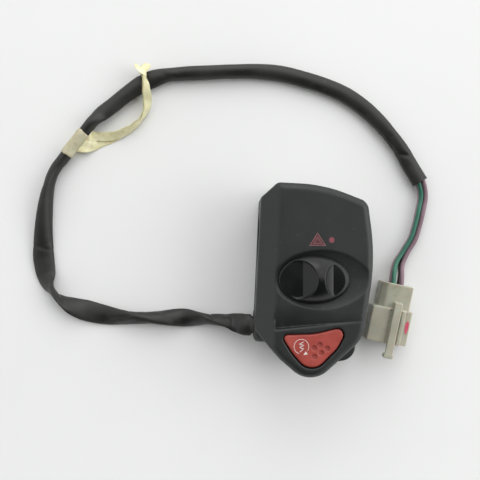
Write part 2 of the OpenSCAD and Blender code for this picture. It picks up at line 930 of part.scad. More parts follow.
module slide_base_screws() {
    color("#b9bcbd") for (x = base_screws) {
        along_z(x, carrier_y, base_z - small_head_h, small_head_h, small_head_r);
        along_z(x, carrier_y, base_z - eps, base_t + small_bite, small_r);
    }
}

module start_button() {
    color("#a63a34") difference() {
        union() {
            flange(flange_z, flange_z + flange_t);
            translate([0, 0, flange_z])
                linear_extrude(cap_top - cap_edge - flange_z) button_plan();
            translate([button_x, button_y, cap_top - 2 * cap_edge])
                soft_prism(button_corners, 2 * cap_edge, cap_edge);
        }
        difference() {
            translate([0, 0, flange_z - 1])
                linear_extrude(cap_top - cap_t - flange_z + 1) button_plan(-skirt_t);
            along_z(plunger_x, plunger_y, flange_z - 2, collar_h + 6, plunger_r);
        }
        for (d = dimple_spots) {
            dimple_r = (pow(dimple_d / 2, 2) / dimple_depth + dimple_depth) / 2;
            translate([button_x + d.x, button_y + d.y, cap_top + dimple_r - dimple_depth])
                sphere(r = dimple_r, $fn = round_fn);
        }
    }
    color("#a63a34") {
        along_z(plunger_x, plunger_y, shoulder_z, flange_z - shoulder_z + eps, plunger_r);
        along_z(plunger_x, plunger_y, neck_end, shoulder_z - neck_end + eps, neck_r);
    }
}

module button_spring() {
    color("#b9bcbd") translate([plunger_x, plunger_y, block_top + eps])
        coil(return_spring_r, return_spring_wire, return_seat - block_top - 2 * eps, 6);
}

module button_bridge() {
    color("#b89346") difference() {
        block(plunger_x - push_bridge_l / 2, plunger_x + push_bridge_l / 2,
            plunger_y - push_bridge_w / 2, plunger_y + push_bridge_w / 2,
            push_bridge_z, push_bridge_z + push_bridge_t);
        along_z(plunger_x, plunger_y, push_bridge_z - 1, 3, neck_r + seat_gap);
    }
}

module bridge_clip() {
    color("#c8cacb") difference() {
        along_z(plunger_x, plunger_y, clip_z, clip_t, clip_r);
        along_z(plunger_x, plunger_y, clip_z - 1, 3, neck_r + seat_gap);
    }
}

module button_block() {
    x0 = plunger_x - block_l / 2;
    x1 = plunger_x + block_l / 2;
    y0 = plunger_y - block_w / 2;
    y1 = plunger_y + block_w / 2;
    color("#8a5a33") difference() {
        intersection() {
            translate([0, 0, floor_z]) linear_extrude(block_top - floor_z)
                plan(outline_corners, -wall - show_gap);
            union() {
                block(x0, x1, y0, ear_y + small_boss_r, block_top - block_guide_t, block_top);
                block(x0, x0 + post_t, y0, y1, floor_z, block_top);
                block(x1 - post_t, x1, y0, y1, floor_z, block_top);
                block(x0, x1, y0, y1, floor_z, floor_top);
            }
        }
        along_z(plunger_x, plunger_y, block_top - block_guide_t - 1, block_guide_t + 2,
            plunger_r + seat_gap);
        along_z(plunger_x, plunger_y, floor_z - 1, floor_t + 2, neck_r + 0.6);
        for (s = [-1, 1]) {
            along_z(plunger_x + s * ear_spread, ear_y, block_top - block_guide_t - 1,
                block_guide_t + 2, small_r + seat_gap);
            along_z(plunger_x + s * push_contact_spread, plunger_y, floor_z - 1, floor_t + 2,
                push_contact_r / 2 + seat_gap);
        }
    }
}

module button_contacts() {
    color("#b89346") for (s = [-1, 1]) {
        x = plunger_x + s * push_contact_spread;
        along_z(x, plunger_y, floor_top, push_contact_h, push_contact_r);
        along_z(x, plunger_y, floor_z - tail_l, floor_t + tail_l + eps, push_contact_r / 2);
    }
}

module button_block_screws() {
    head_top = block_top - block_guide_t;
    color("#b9bcbd") for (s = [-1, 1]) {
        x = plunger_x + s * ear_spread;
        along_z(x, ear_y, head_top - small_head_h, small_head_h, small_head_r);
        along_z(x, ear_y, head_top - eps, block_guide_t + small_bite, small_r);
    }
}

// Leads from the contact rivets to the end of the sleeve
module inner_leads() {
    slide_tail = base_z - tail_l - lead_gap;
    push_tail = floor_z - tail_l - lead_gap;
    mouth = [sleeve_in + 0.1, outlet_y, outlet_z];
    starts = [
        [slide_x - contact_pitch / 2, carrier_y, slide_tail],
        [slide_x + contact_pitch / 2, carrier_y, slide_tail],
        [plunger_x - push_contact_spread, plunger_y, push_tail],
        [plunger_x + push_contact_spread, plunger_y, push_tail]
    ];
    ends = [[0, pair, pair], [0, pair, -pair], [0, -pair, pair], [0, -pair, -pair]];
    color("#3a3a3a") for (k = [0 : 3]) {
        cord(concat(
            [starts[k], starts[k] + lead_drops[k]],
            [for (bend = lead_bends[k]) mouth + bend],
            [mouth + ends[k] + [lead_straight, 0, 0], mouth + ends[k]]
        ), wire_r);
    }
}

module cable_sleeve() {
    color("#3b3b3a") tube(route_world, sleeve_r, sleeve_r - sleeve_wall, 12);
}

// One wire: side and level are -1 or 1 within the bundle
module wire(side, level) {
    last = len(wire_route) - 1;
    middle = [for (i = [0 : last])
        let (
            w = wire_route[i],
            lift = i < 2 ? sleeve_r : i < last - 1 ? wire_low + w.z : cell_z - rise_left[last - i]
        )
        [w.x, w.y, back_z + lift]];
    path = [for (i = [0 : last])
        let (half = wire_route[i].z, axes = across(middle, i))
        middle[i] + side * half * axes[0] + [0, 0, level * min(half, cell_rise)]];
    ends = [at_plug([side * fan, 0, cell_z + level * cell_rise]),
        at_plug([side * fan, wire_end, cell_z + level * cell_rise])];
    cord(concat([for (i = [0 : last - 1]) path[i]], ends), wire_r);
}

module green_wire() {
    color("#3d8a63") wire(1, 1);
}

module violet_wire() {
    color("#8d7fae") wire(-1, 1);
}

module black_wire() {
    color("#2a2a2c") wire(-1, -1);
}

module mauve_wire() {
    color("#a58fa0") wire(1, -1);
}

module in_plug() {
    translate(plug_spot) rotate([0, 0, plug_turn]) children();
}

module connector_housing() {
    half = plug_w / 2;
    top = plug_h + latch_gap;
    x0 = latch_x - latch_w / 2;
    x1 = latch_x + latch_w / 2;
    hook = plug_l + latch_over;
    color("#e2ddca") in_plug() difference() {
        union() {
            block(-half + rear_side, half - rear_side, 0, rear_l + 1, 0.5, plug_h - rear_drop);
            difference() {
                block(-half, half, rear_l, plug_l, 0, plug_h);
                block(-half - 1, -half + step_w, rear_l - 1, plug_l + 1, plug_h - step_drop, plug_h + 1);
            }
            block(x0, x1, rear_l - latch_foot, rear_l + latch_foot, plug_h - rear_drop - 1, top + latch_t);
            block(x0, x1, rear_l, hook, top, top + latch_t);
            block(x0 - 0.4, x1 + 0.4, hook - latch_hook_l, hook, top - latch_hook_h, top + latch_t);
        }
        block(-half + step_w + plug_wall, half - plug_wall, plug_l - cavity_depth, plug_l + 1,
            plug_wall, plug_h - plug_wall);
        block(-half + plug_wall, half - plug_wall, plug_l - cavity_depth, plug_l + 1,
            plug_wall, plug_h - step_drop - plug_wall);
        for (x = [-fan, fan]) {
            for (z = [-cell_rise, cell_rise]) {
                along_y(x, -1, cell_z + z, plug_l - cavity_depth + 2, cell_r);
            }
        }
    }
}

module connector_terminals() {
    color("#c2b280") in_plug() for (x = [-fan, fan]) {
        for (z = [-cell_rise, cell_rise]) {
            along_y(x, crimp_start, cell_z + z, crimp_end - crimp_start, crimp_r);
            block(x - tab_w / 4, x + tab_w / 4, crimp_end - eps, plug_l - cavity_depth + 1,
                cell_z + z - tab_t / 2, cell_z + z + tab_t / 2);
            block(x - tab_w / 2, x + tab_w / 2, plug_l - cavity_depth + 0.5, plug_l - tab_recess,
                cell_z + z - tab_t / 2, cell_z + z + tab_t / 2);
        }
    }
}

module tape_band() {
    from = route_world[band_at];
    to = route_world[band_at + 1];
    path = [for (t = [-0.5, 0.5]) (from + to) / 2 + unit(to - from) * band_l * t];
    inner = sleeve_r + band_lift - tape_t;
    color("#cfc7a4") tube(path, inner + tape_t, inner, 24);
}

module tape_tail() {
    path = [for (p = tail_route) [p.x, p.y, back_z + p.z]];
    rings = len(path);
    sections = [for (i = [0 : rings - 1])
        let (
            axes = across(path, i),
            a = tail_route[i][3],
            half = tail_w * tail_route[i][4] / 2,
            wide = axes[0] * cos(a) + axes[1] * sin(a),
            thick = axes[1] * cos(a) - axes[0] * sin(a),
            lift = [0, 0, half * abs(sin(a))]
        )
        each [for (c = [[-1, -1], [1, -1], [1, 1], [-1, 1]])
            path[i] + lift + wide * half * c.x + thick * tape_t / 2 * c.y]];
    color("#d8cfa5") polyhedron(
        points = sections,
        faces = concat([[3, 2, 1, 0]], skin(rings, 4),
            [[for (s = [0 : 3]) (rings - 1) * 4 + s]]),
        convexity = 10
    );
}

front_cover();
rear_cover();
housing_screws();
cable_grommet();
slide_knob();
slide_carrier();
knob_screw();
slide_bridge();
slide_bridge_springs();
detent_ball();
detent_spring();
slide_base();
slide_contacts();
slide_base_screws();
start_button();
button_spring();
button_bridge();
bridge_clip();
button_block();
button_contacts();
button_block_screws();
inner_leads();
cable_sleeve();
green_wire();
violet_wire();
black_wire();
mauve_wire();
connector_housing();
connector_terminals();
tape_band();
tape_tail();
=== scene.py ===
import bpy
import math
import numpy as np
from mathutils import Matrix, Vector


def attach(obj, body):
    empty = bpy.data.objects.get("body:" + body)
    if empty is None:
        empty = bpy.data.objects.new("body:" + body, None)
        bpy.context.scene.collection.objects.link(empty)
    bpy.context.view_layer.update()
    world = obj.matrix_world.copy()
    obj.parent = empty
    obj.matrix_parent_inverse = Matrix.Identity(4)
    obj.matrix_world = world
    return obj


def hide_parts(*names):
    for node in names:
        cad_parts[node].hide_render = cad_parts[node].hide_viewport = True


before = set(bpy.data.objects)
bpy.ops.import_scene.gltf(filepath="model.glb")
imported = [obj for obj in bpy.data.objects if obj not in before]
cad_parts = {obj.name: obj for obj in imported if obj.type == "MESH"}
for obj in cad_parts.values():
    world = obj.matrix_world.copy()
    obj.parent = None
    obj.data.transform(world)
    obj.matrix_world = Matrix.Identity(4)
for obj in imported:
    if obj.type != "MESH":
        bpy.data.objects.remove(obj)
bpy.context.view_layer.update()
print("frame loaded:", len(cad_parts), "nodes")

mm = 0.001
tableZ = -16.0  # mm, the top of the table
faceZ = 22.0  # mm, the housing's face
fullTurn = 2 * math.pi
tiny = 1e-6  # keeps divisions away from zero

# Camera, straight above the table as in the photo

cameraSet = {
    "over": (-29.6, -0.8),  # mm, the point the lens looks at
    "rise": 300.0,  # mm above the table
    "field": 219.8,  # mm of table across the picture
    "sensor": 36,  # mm
    "clip": (0.01, 10),  # m
}


def addPiece(name, data):
    piece = bpy.data.objects.new(name, data)
    bpy.context.scene.collection.objects.link(piece)
    return piece


def makeCamera():
    data = bpy.data.cameras.new("tableCamera")
    data.sensor_width = cameraSet["sensor"]
    data.lens = cameraSet["sensor"] * cameraSet["rise"] / cameraSet["field"]
    data.clip_start, data.clip_end = cameraSet["clip"]
    camera = addPiece("tableCamera", data)
    x, y = cameraSet["over"]
    camera.location = (x * mm, y * mm, (tableZ + cameraSet["rise"]) * mm)
    bpy.context.scene.camera = camera


makeCamera()

# Small tools for meshes and lines


def addMesh(name, points, faces, scale=mm, smooth=True):
    mesh = bpy.data.meshes.new(name)
    points = np.asarray(points, np.float32) * scale
    if isinstance(faces, np.ndarray):
        count, sides = faces.shape
        mesh.vertices.add(len(points))
        mesh.vertices.foreach_set("co", points.ravel())
        mesh.loops.add(count * sides)
        mesh.loops.foreach_set("vertex_index", faces.astype(np.int32).ravel())
        mesh.polygons.add(count)
        mesh.polygons.foreach_set("loop_start", np.arange(0, count * sides, sides, dtype=np.int32))
        mesh.update(calc_edges=True)
    else:
        mesh.from_pydata([tuple(map(float, p)) for p in points], [], [list(map(int, f)) for f in faces])
    mesh.validate()
    mesh.polygons.foreach_set("use_smooth", [smooth] * len(mesh.polygons))
    mesh.update()
    return addPiece(name, mesh)


# Round cords along lines given in metres
def addCurve(name, lines, diameter, fineness):
    curve = bpy.data.curves.new(name, "CURVE")
    curve.dimensions = "3D"
    curve.bevel_depth = diameter / 2
    curve.bevel_resolution = fineness
    curve.use_fill_caps = True
    for line in lines:
        run = curve.splines.new("POLY")
        run.points.add(len(line) - 1)
        run.points.foreach_set("co", np.c_[line, np.ones(len(line))].ravel())
        run.use_smooth = True
    return addPiece(name, curve)


def dress(piece, finish, body="housing", stands=()):
    piece.data.materials.clear()
    piece.data.materials.append(finishes[finish])
    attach(piece, body)
    if stands:
        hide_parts(*stands)
    return piece


# Smooth line through the route's points, in even steps, and how far along it each step is
def splined(points, step, cuts=12):
    p = np.asarray(points, float)
    ends = np.vstack([2 * p[0] - p[1], p, 2 * p[-1] - p[-2]])
    fine = []
    for i in range(1, len(ends) - 2):
        a, b, c, d = ends[i - 1:i + 3]
        for t in np.linspace(0, 1, cuts, endpoint=False):
            fine.append(0.5 * (2 * b + (c - a) * t + (2 * a - 5 * b + 4 * c - d) * t * t
                               + (3 * b - a - 3 * c + d) * t ** 3))
    fine = np.array(fine + [p[-1]])
    far = np.r_[0, np.cumsum(np.linalg.norm(np.diff(fine, axis=0), axis=1))]
    even = np.linspace(0, far[-1], max(2, int(round(far[-1] / step)) + 1))
    return np.stack([np.interp(even, far, fine[:, k]) for k in range(3)], 1), even


# Place of each step of a line on its route: 0 at the route's first point, 1 at its second
def placesOn(route, line):
    spots = [np.argmin(np.linalg.norm(line - p, axis=1)) for p in route]
    return np.interp(np.arange(len(line)), spots, np.arange(len(route)))


# Directions ahead, to the side and up along a line
def headings(line):
    ahead = np.gradient(line, axis=0)
    ahead /= np.linalg.norm(ahead, axis=1)[:, None]
    side = np.cross(ahead, (0, 0, 1.0))
    side /= np.linalg.norm(side, axis=1)[:, None]
    return ahead, side, np.cross(side, ahead)


# Sum of waves, each with its depth and its pace along u and v
def waves(rows, u, v):
    return sum(depth * np.sin(a * u + b * v) for depth, a, b in rows)


# Faces between rows of points, closed round each row or open at its sides
def ringFaces(rings, sides, closed=True):
    i, s = np.meshgrid(np.arange(rings - 1), np.arange(sides if closed else sides - 1), indexing="ij")
    t = (s + 1) % sides
    corners = [i * sides + s, (i + 1) * sides + s, (i + 1) * sides + t, i * sides + t]
    return np.stack(corners, -1).reshape(-1, 4)


# Mesh of the surface where a field of distances is zero, on a grid of cells
def fieldMesh(name, field, low, high, step):
    margin = 2 * step
    low = np.array(low, float) - margin
    counts = np.ceil((np.array(high, float) + margin - low) / step).astype(int) + 1
    axes = [(low[k] + step * np.arange(counts[k])).astype(np.float32) for k in range(3)]
    x, y, z = np.meshgrid(*axes, indexing="ij", sparse=True)
    d = np.array(np.broadcast_to(field(x, y, z), counts), np.float32)
    d[np.abs(d) < tiny] = tiny
    inside = d < 0
    corners = [(i, j, k) for i in (0, 1) for j in (0, 1) for k in (0, 1)]
    n = counts - 1
    filled = np.zeros(n, np.int8)
    for i, j, k in corners:
        filled += inside[i:i + n[0], j:j + n[1], k:k + n[2]]
    mixed = (filled > 0) & (filled < len(corners))
    cells = np.argwhere(mixed)
    values = np.stack([d[cells[:, 0] + i, cells[:, 1] + j, cells[:, 2] + k] for i, j, k in corners], 1)
    total, hits = np.zeros((len(cells), 3)), np.zeros(len(cells))
    for a in range(len(corners)):
        for axis, bit in enumerate((4, 2, 1)):
            if a & bit:
                continue
            va, vb = values[:, a], values[:, a | bit]
            cut = (va < 0) != (vb < 0)
            spot = np.tile(np.array(corners[a], float), (cut.sum(), 1))
            spot[:, axis] += va[cut] / (va[cut] - vb[cut])
            total[cut] += spot
            hits[cut] += 1
    points = low + step * (cells + total / hits[:, None])
    index = np.full(mixed.shape, -1, np.int32)
    index[mixed] = np.arange(len(cells))
    faces = []
    for axis in range(3):
        grid, side = np.moveaxis(index, axis, 0), np.moveaxis(inside, axis, 0)
        a, b = side[:-1, 1:-1, 1:-1], side[1:, 1:-1, 1:-1]
        quad = np.stack([grid[:, :-1, :-1], grid[:, 1:, :-1], grid[:, 1:, 1:], grid[:, :-1, 1:]], -1)
        out, back = quad[a & ~b], quad[~a & b][:, ::-1]
        faces += [out, back] if axis != 1 else [out[:, ::-1], back[:, ::-1]]
    return addMesh(name, points, np.vstack(faces))


def softMax(a, b, r):
    h = np.maximum(r - np.abs(a - b), 0) / r
    return np.maximum(a, b) + h * h * r / 4


def softMin(a, b, r):
    return -softMax(-a, -b, r)


# Distances from a box with rounded edges, and from rods along X and along Z
def boxField(x, y, z, x0, x1, y0, y1, z0, z1, r=0.0):
    sides = ((x, x0, x1), (y, y0, y1), (z, z0, z1))
    q = [np.abs(v - (a + b) / 2) - (b - a) / 2 + r for v, a, b in sides]
    away = np.sqrt(np.maximum(q[0], 0) ** 2 + np.maximum(q[1], 0) ** 2 + np.maximum(q[2], 0) ** 2)
    return away + np.minimum(np.maximum(np.maximum(q[0], q[1]), q[2]), 0) - r


def rodX(x, y, z, y0, z0, r, x0, x1):
    return np.maximum(np.sqrt((y - y0) ** 2 + (z - z0) ** 2) - r, np.maximum(x0 - x, x - x1))


def rodZ(x, y, z, x0, y0, r, z0, z1):
    return np.maximum(np.sqrt((x - x0) ** 2 + (y - y0) ** 2) - r, np.maximum(z0 - z, z - z1))


# Closed outline with its corners (x, y, radius) rounded, as in the part's source
def roundedPlan(corners, steps=24):
    c = np.array(corners, float)
    line = []
    for i in range(len(c)):
        corner, r = c[i, :2], c[i, 2]
        back, ahead = c[i - 1, :2] - corner, c[(i + 1) % len(c), :2] - corner
        back, ahead = back / np.linalg.norm(back), ahead / np.linalg.norm(ahead)
        half = math.acos(np.clip(back @ ahead, -1, 1)) / 2
        middle = corner + (back + ahead) / np.linalg.norm(back + ahead) * r / math.sin(half)
        start = corner + back * r / math.tan(half) - middle
        end = corner + ahead * r / math.tan(half) - middle
        turn = math.pi - 2 * half
        for t in np.arange(steps + 1) / steps:
            spot = start * math.sin((1 - t) * turn) + end * math.sin(t * turn)
            line.append(middle + spot / math.sin(turn))
    return np.array(line)


# Distance from an outline in plan, negative inside it
def planField(line, x, y, shortest=1e-12):
    px, py = np.broadcast_arrays(x[:, :, 0], y[:, :, 0])
    best, odd = np.full(px.shape, np.inf), np.zeros(px.shape, bool)
    for a, b in zip(line, np.roll(line, -1, 0)):
        e = b - a
        size = e @ e
        if size < shortest:
            continue
        wx, wy = px - a[0], py - a[1]
        t = np.clip((wx * e[0] + wy * e[1]) / size, 0, 1)
        best = np.minimum(best, (wx - t * e[0]) ** 2 + (wy - t * e[1]) ** 2)
        crosses = (a[1] > py) != (b[1] > py)
        rise = e[1] if abs(e[1]) > shortest else shortest
        odd ^= crosses & (px < a[0] + (py - a[1]) * e[0] / rise)
    return (np.where(odd, -1, 1) * np.sqrt(best))[:, :, None].astype(np.float32)


# Distance from where two fields meet, with the edge between them rounded
def roundEdge(a, b, r):
    a, b = a + r, b + r
    return np.minimum(np.maximum(a, b), 0) + np.sqrt(np.maximum(a, 0) ** 2 + np.maximum(b, 0) ** 2) - r


def ellipsoidField(x, y, z, rx, ry, rz):
    k0 = np.sqrt((x / rx) ** 2 + (y / ry) ** 2 + (z / rz) ** 2) + tiny
    k1 = np.sqrt((x / rx ** 2) ** 2 + (y / ry ** 2) ** 2 + (z / rz ** 2) ** 2) + tiny
    return k0 * (k0 - 1) / k1


# Finishes


def toLinear(colour):
    return tuple((v / 255 / 12.92) if v <= 10 else ((v / 255 + 0.055) / 1.055) ** 2.4 for v in colour)


def blankMaterial(name):
    material = bpy.data.materials.new(name)
    material.use_nodes = True
    tree = material.node_tree
    return material, tree, tree.nodes["Principled BSDF"]


def noiseNode(tree, scale, detail, rough=0.55, stretch=None):
    source = tree.nodes.new("ShaderNodeTexCoord").outputs["Object"]
    node = tree.nodes.new("ShaderNodeTexNoise")
    node.inputs["Scale"].default_value = scale
    node.inputs["Detail"].default_value = detail
    node.inputs["Roughness"].default_value = rough
    if stretch:
        mapping = tree.nodes.new("ShaderNodeMapping")
        mapping.inputs["Scale"].default_value = stretch
        tree.links.new(source, mapping.inputs["Vector"])
        source = mapping.outputs["Vector"]
    tree.links.new(source, node.inputs["Vector"])
    return node.outputs["Fac"]


def rampNode(tree, value, stops):
    ramp = tree.nodes.new("ShaderNodeValToRGB")
    for element, (place, colour) in zip(ramp.color_ramp.elements, (stops[0], stops[-1])):
        element.position, element.color = place, (*toLinear(colour), 1)
    for place, colour in stops[1:-1]:
        ramp.color_ramp.elements.new(place).color = (*toLinear(colour), 1)
    tree.links.new(value, ramp.inputs["Fac"])
    return ramp.outputs["Color"]


def rangeNode(tree, value, fromLow, fromHigh, low, high):
    node = tree.nodes.new("ShaderNodeMapRange")
    for name, v in (("From Min", fromLow), ("From Max", fromHigh), ("To Min", low), ("To Max", high)):
        node.inputs[name].default_value = v
    tree.links.new(value, node.inputs["Value"])
    return node.outputs["Result"]


def bumpNode(tree, value, strength, depth, below=None):
    node = tree.nodes.new("ShaderNodeBump")
    node.inputs["Strength"].default_value = strength
    node.inputs["Distance"].default_value = depth
    tree.links.new(value, node.inputs["Height"])
    if below:
        tree.links.new(below, node.inputs["Normal"])
    return node.outputs["Normal"]


# A shade laid over a colour where a value lies in a range, up to a share
def overlay(tree, colour, value, start, end, share, shade):
    node = tree.nodes.new("ShaderNodeMix")
    node.data_type = "RGBA"
    tree.links.new(rangeNode(tree, value, start, end, 0, share), node.inputs["Factor"])
    tree.links.new(colour, node.inputs["A"])
    node.inputs["B"].default_value = (*toLinear(shade), 1)
    return node.outputs["Result"]


grainSet = {
    "patchDetail": 5, "shadeSpan": (0.34, 0.66), "glossSpan": (0.3, 0.7),
    "dustDetail": 6, "dustRough": 0.7, "dustFade": 0.16, "grainDetail": 2, "grainStrength": 0.5,
}


# One moulded finish: shades that wander, a gloss that wanders with them, grain, dust and worn edges,
# and painted shade with grime in its hollows
def mouldedFinish(name, shades, gloss, patch, grain, depth, worn=None, shadeAndGrime=None, dust=None, sockets=None):
    material, tree, shader = blankMaterial(name)
    g = grainSet
    patches = noiseNode(tree, patch, g["patchDetail"])
    colour = rampNode(tree, patches, list(zip(g["shadeSpan"], shades)))
    if dust:
        scale, start, share, shade = dust
        specks = noiseNode(tree, scale, g["dustDetail"], g["dustRough"])
        colour = overlay(tree, colour, specks, start, start + g["dustFade"], share, shade)
    # hollows found by pointiness get a darker colour: painted shade, with grime
    for edge in (worn, shadeAndGrime):
        if edge:
            sharp = tree.nodes.new("ShaderNodeNewGeometry").outputs["Pointiness"]
            colour = overlay(tree, colour, sharp, *edge)
    tree.links.new(colour, shader.inputs["Base Color"])
    tree.links.new(rangeNode(tree, patches, *g["glossSpan"], *gloss), shader.inputs["Roughness"])
    grains = noiseNode(tree, grain, g["grainDetail"])
    tree.links.new(bumpNode(tree, grains, g["grainStrength"], depth), shader.inputs["Normal"])
    for socket, value in (sockets or {}).items():
        shader.inputs[socket].default_value = value
    return material


# Each finish: two shades, two roughnesses, scales of its patches and its grain, depth of the grain (m), then
# worn edges and painted shade with grime in hollows (from, to, share, shade),
# dust (scale, from, share, shade) and other sockets
finishSet = {
    "coverPlastic": (((23, 27, 26), (31, 35, 33)), (0.42, 0.54), 50, 2400, 0.00004, {
        "worn": (0.53, 0.62, 0.22, (76, 80, 77)), "dust": (420, 0.6, 0.22, (96, 100, 94))}),
    "rearPlastic": (((26, 28, 27), (35, 38, 36)), (0.5, 0.66), 55, 2200, 0.00005, {
        "worn": (0.52, 0.6, 0.35, (78, 80, 76)), "dust": (380, 0.58, 0.3, (90, 90, 84))}),
    "knobPlastic": (((15, 16, 16), (20, 21, 21)), (0.18, 0.26), 90, 3000, 0.000004, {
        "worn": (0.53, 0.62, 0.3, (70, 72, 72)), "dust": (600, 0.64, 0.12, (80, 82, 80)),
        "sockets": {"Specular IOR Level": 0.36}}),
    "buttonPlastic": (((152, 62, 54), (168, 75, 65)), (0.36, 0.48), 120, 3000, 0.000012, {
        # dark red painted shade in the dimples and hollows of the button
        "worn": (0.53, 0.62, 0.15, (190, 108, 100)), "shadeAndGrime": (0.49, 0.43, 0.75, (88, 30, 30)),
        "dust": (900, 0.62, 0.25, (150, 92, 84))}),
    "nylon": (((164, 163, 145), (184, 183, 166)), (0.26, 0.42), 110, 1500, 0.00002, {
        # painted shade with grime in the connector's inner corners
        "worn": (0.52, 0.6, 0.5, (210, 210, 198)), "shadeAndGrime": (0.48, 0.4, 0.5, (120, 116, 94)),
        "dust": (260, 0.56, 0.35, (134, 128, 104)),
        "sockets": {"Subsurface Weight": 0.4, "Subsurface Scale": 0.002}}),
    "rubber": (((22, 22, 22), (30, 30, 30)), (0.6, 0.75), 90, 1800, 0.00003, {}),
    "zincSteel": (((150, 152, 150), (178, 180, 178)), (0.28, 0.42), 300, 2500, 0.000006, {
        "sockets": {"Metallic": 1.0}}),
    "brass": (((168, 136, 74), (196, 162, 96)), (0.26, 0.4), 300, 2500, 0.000006, {
        "sockets": {"Metallic": 1.0}}),
    "pressedBoard": (((104, 66, 38), (134, 88, 52)), (0.5, 0.65), 180, 900, 0.00003, {}),
    "acetal": (((190, 172, 134), (206, 190, 152)), (0.36, 0.48), 150, 2400, 0.00001, {}),
    "leadVinyl": (((48, 48, 48), (58, 58, 58)), (0.4, 0.5), 150, 1500, 0.00001, {}),
    "greenVinyl": (((40, 100, 82), (54, 116, 96)), (0.36, 0.5), 160, 900, 0.00002, {
        "dust": (700, 0.58, 0.25, (128, 154, 140))}),
    "violetVinyl": (((120, 94, 106), (138, 112, 122)), (0.36, 0.5), 160, 900, 0.00002, {
        "dust": (700, 0.58, 0.25, (168, 152, 158))}),
    "blackVinyl": (((40, 40, 44), (54, 54, 58)), (0.36, 0.5), 160, 900, 0.00002, {}),
    "mauveVinyl": (((150, 122, 134), (166, 138, 150)), (0.36, 0.5), 160, 900, 0.00002, {}),
    "redInk": (((78, 34, 40), (98, 44, 50)), (0.5, 0.6), 900, 4000, 0.000004, {}),
    "dotInk": (((108, 52, 60), (132, 72, 80)), (0.5, 0.6), 900, 4000, 0.000004, {}),
    "paleInk": (((112, 78, 78), (136, 102, 102)), (0.5, 0.6), 900, 4000, 0.000004, {}),
    "whiteInk": (((212, 198, 194), (228, 216, 212)), (0.45, 0.55), 900, 4000, 0.000004, {}),
    "paintMark": (((200, 70, 96), (214, 92, 116)), (0.4, 0.5), 600, 2500, 0.00001, {}),
}
finishes = {}
for finishName, (*looks, extraLooks) in finishSet.items():
    finishes[finishName] = mouldedFinish(finishName, *looks, **extraLooks)

vinylSet = {
    "patches": (70, 5), "stops": [(0.32, (28, 28, 27)), (0.52, (36, 36, 34)), (0.7, (46, 46, 43))],
    "scuffNoise": (300, 6, 0.75), "scuffs": (0.58, 0.74, 0.3, (84, 84, 78)),
    "gloss": (0.3, 0.7, 0.36, 0.52), "specular": 0.42,
    # noise and its bump: strength, depth (m)
    "dentNoise": (230, 3), "dents": (0.5, 0.00025), "grainNoise": (1500, 2), "grain": (0.4, 0.00003),
}


# Soft vinyl: dull, scuffed, with shallow dents
def makeSleeveFinish():
    material, tree, shader = blankMaterial("sleeveVinyl")
    v = vinylSet
    patches = noiseNode(tree, *v["patches"])
    colour = rampNode(tree, patches, v["stops"])
    colour = overlay(tree, colour, noiseNode(tree, *v["scuffNoise"]), *v["scuffs"])
    tree.links.new(colour, shader.inputs["Base Color"])
    tree.links.new(rangeNode(tree, patches, *v["gloss"]), shader.inputs["Roughness"])
    shader.inputs["Specular IOR Level"].default_value = v["specular"]
    dents = bumpNode(tree, noiseNode(tree, *v["dentNoise"]), *v["dents"])
    grain = bumpNode(tree, noiseNode(tree, *v["grainNoise"]), *v["grain"], dents)
    tree.links.new(grain, shader.inputs["Normal"])
    return material


paperSet = {
    "patches": (130, 5), "span": (0.3, 0.55, 0.75),
    "stainNoise": (420, 6, 0.7), "stains": (0.54, 0.72, 0.55),
    "sockets": {"Roughness": 0.72, "Subsurface Weight": 0.12, "Subsurface Scale": 0.0006},
    "crepeNoise": (1300, 3), "stretch": (1, 1, 2.4), "crepe": (0.7, 0.00012),
}


# Creped paper tape, yellowed and stained
def makeTapeFinish(name, shades, dirt):
    material, tree, shader = blankMaterial(name)
    p = paperSet
    colour = rampNode(tree, noiseNode(tree, *p["patches"]), list(zip(p["span"], shades)))
    colour = overlay(tree, colour, noiseNode(tree, *p["stainNoise"]), *p["stains"], dirt)
    tree.links.new(colour, shader.inputs["Base Color"])
    for socket, value in p["sockets"].items():
        shader.inputs[socket].default_value = value
    crepe = noiseNode(tree, *p["crepeNoise"], stretch=p["stretch"])
    tree.links.new(bumpNode(tree, crepe, *p["crepe"]), shader.inputs["Normal"])
    return material


tapeShades = {
    "bandTape": (((178, 173, 144), (200, 195, 166), (216, 211, 186)), (134, 126, 98)),
    "tailTape": (((214, 206, 162), (230, 223, 182), (242, 237, 206)), (188, 175, 126)),
}
finishes["sleeveVinyl"] = makeSleeveFinish()
for finishName, looks in tapeShades.items():
    finishes[finishName] = makeTapeFinish(finishName, *looks)
print("finishes made:", len(bpy.data.materials))
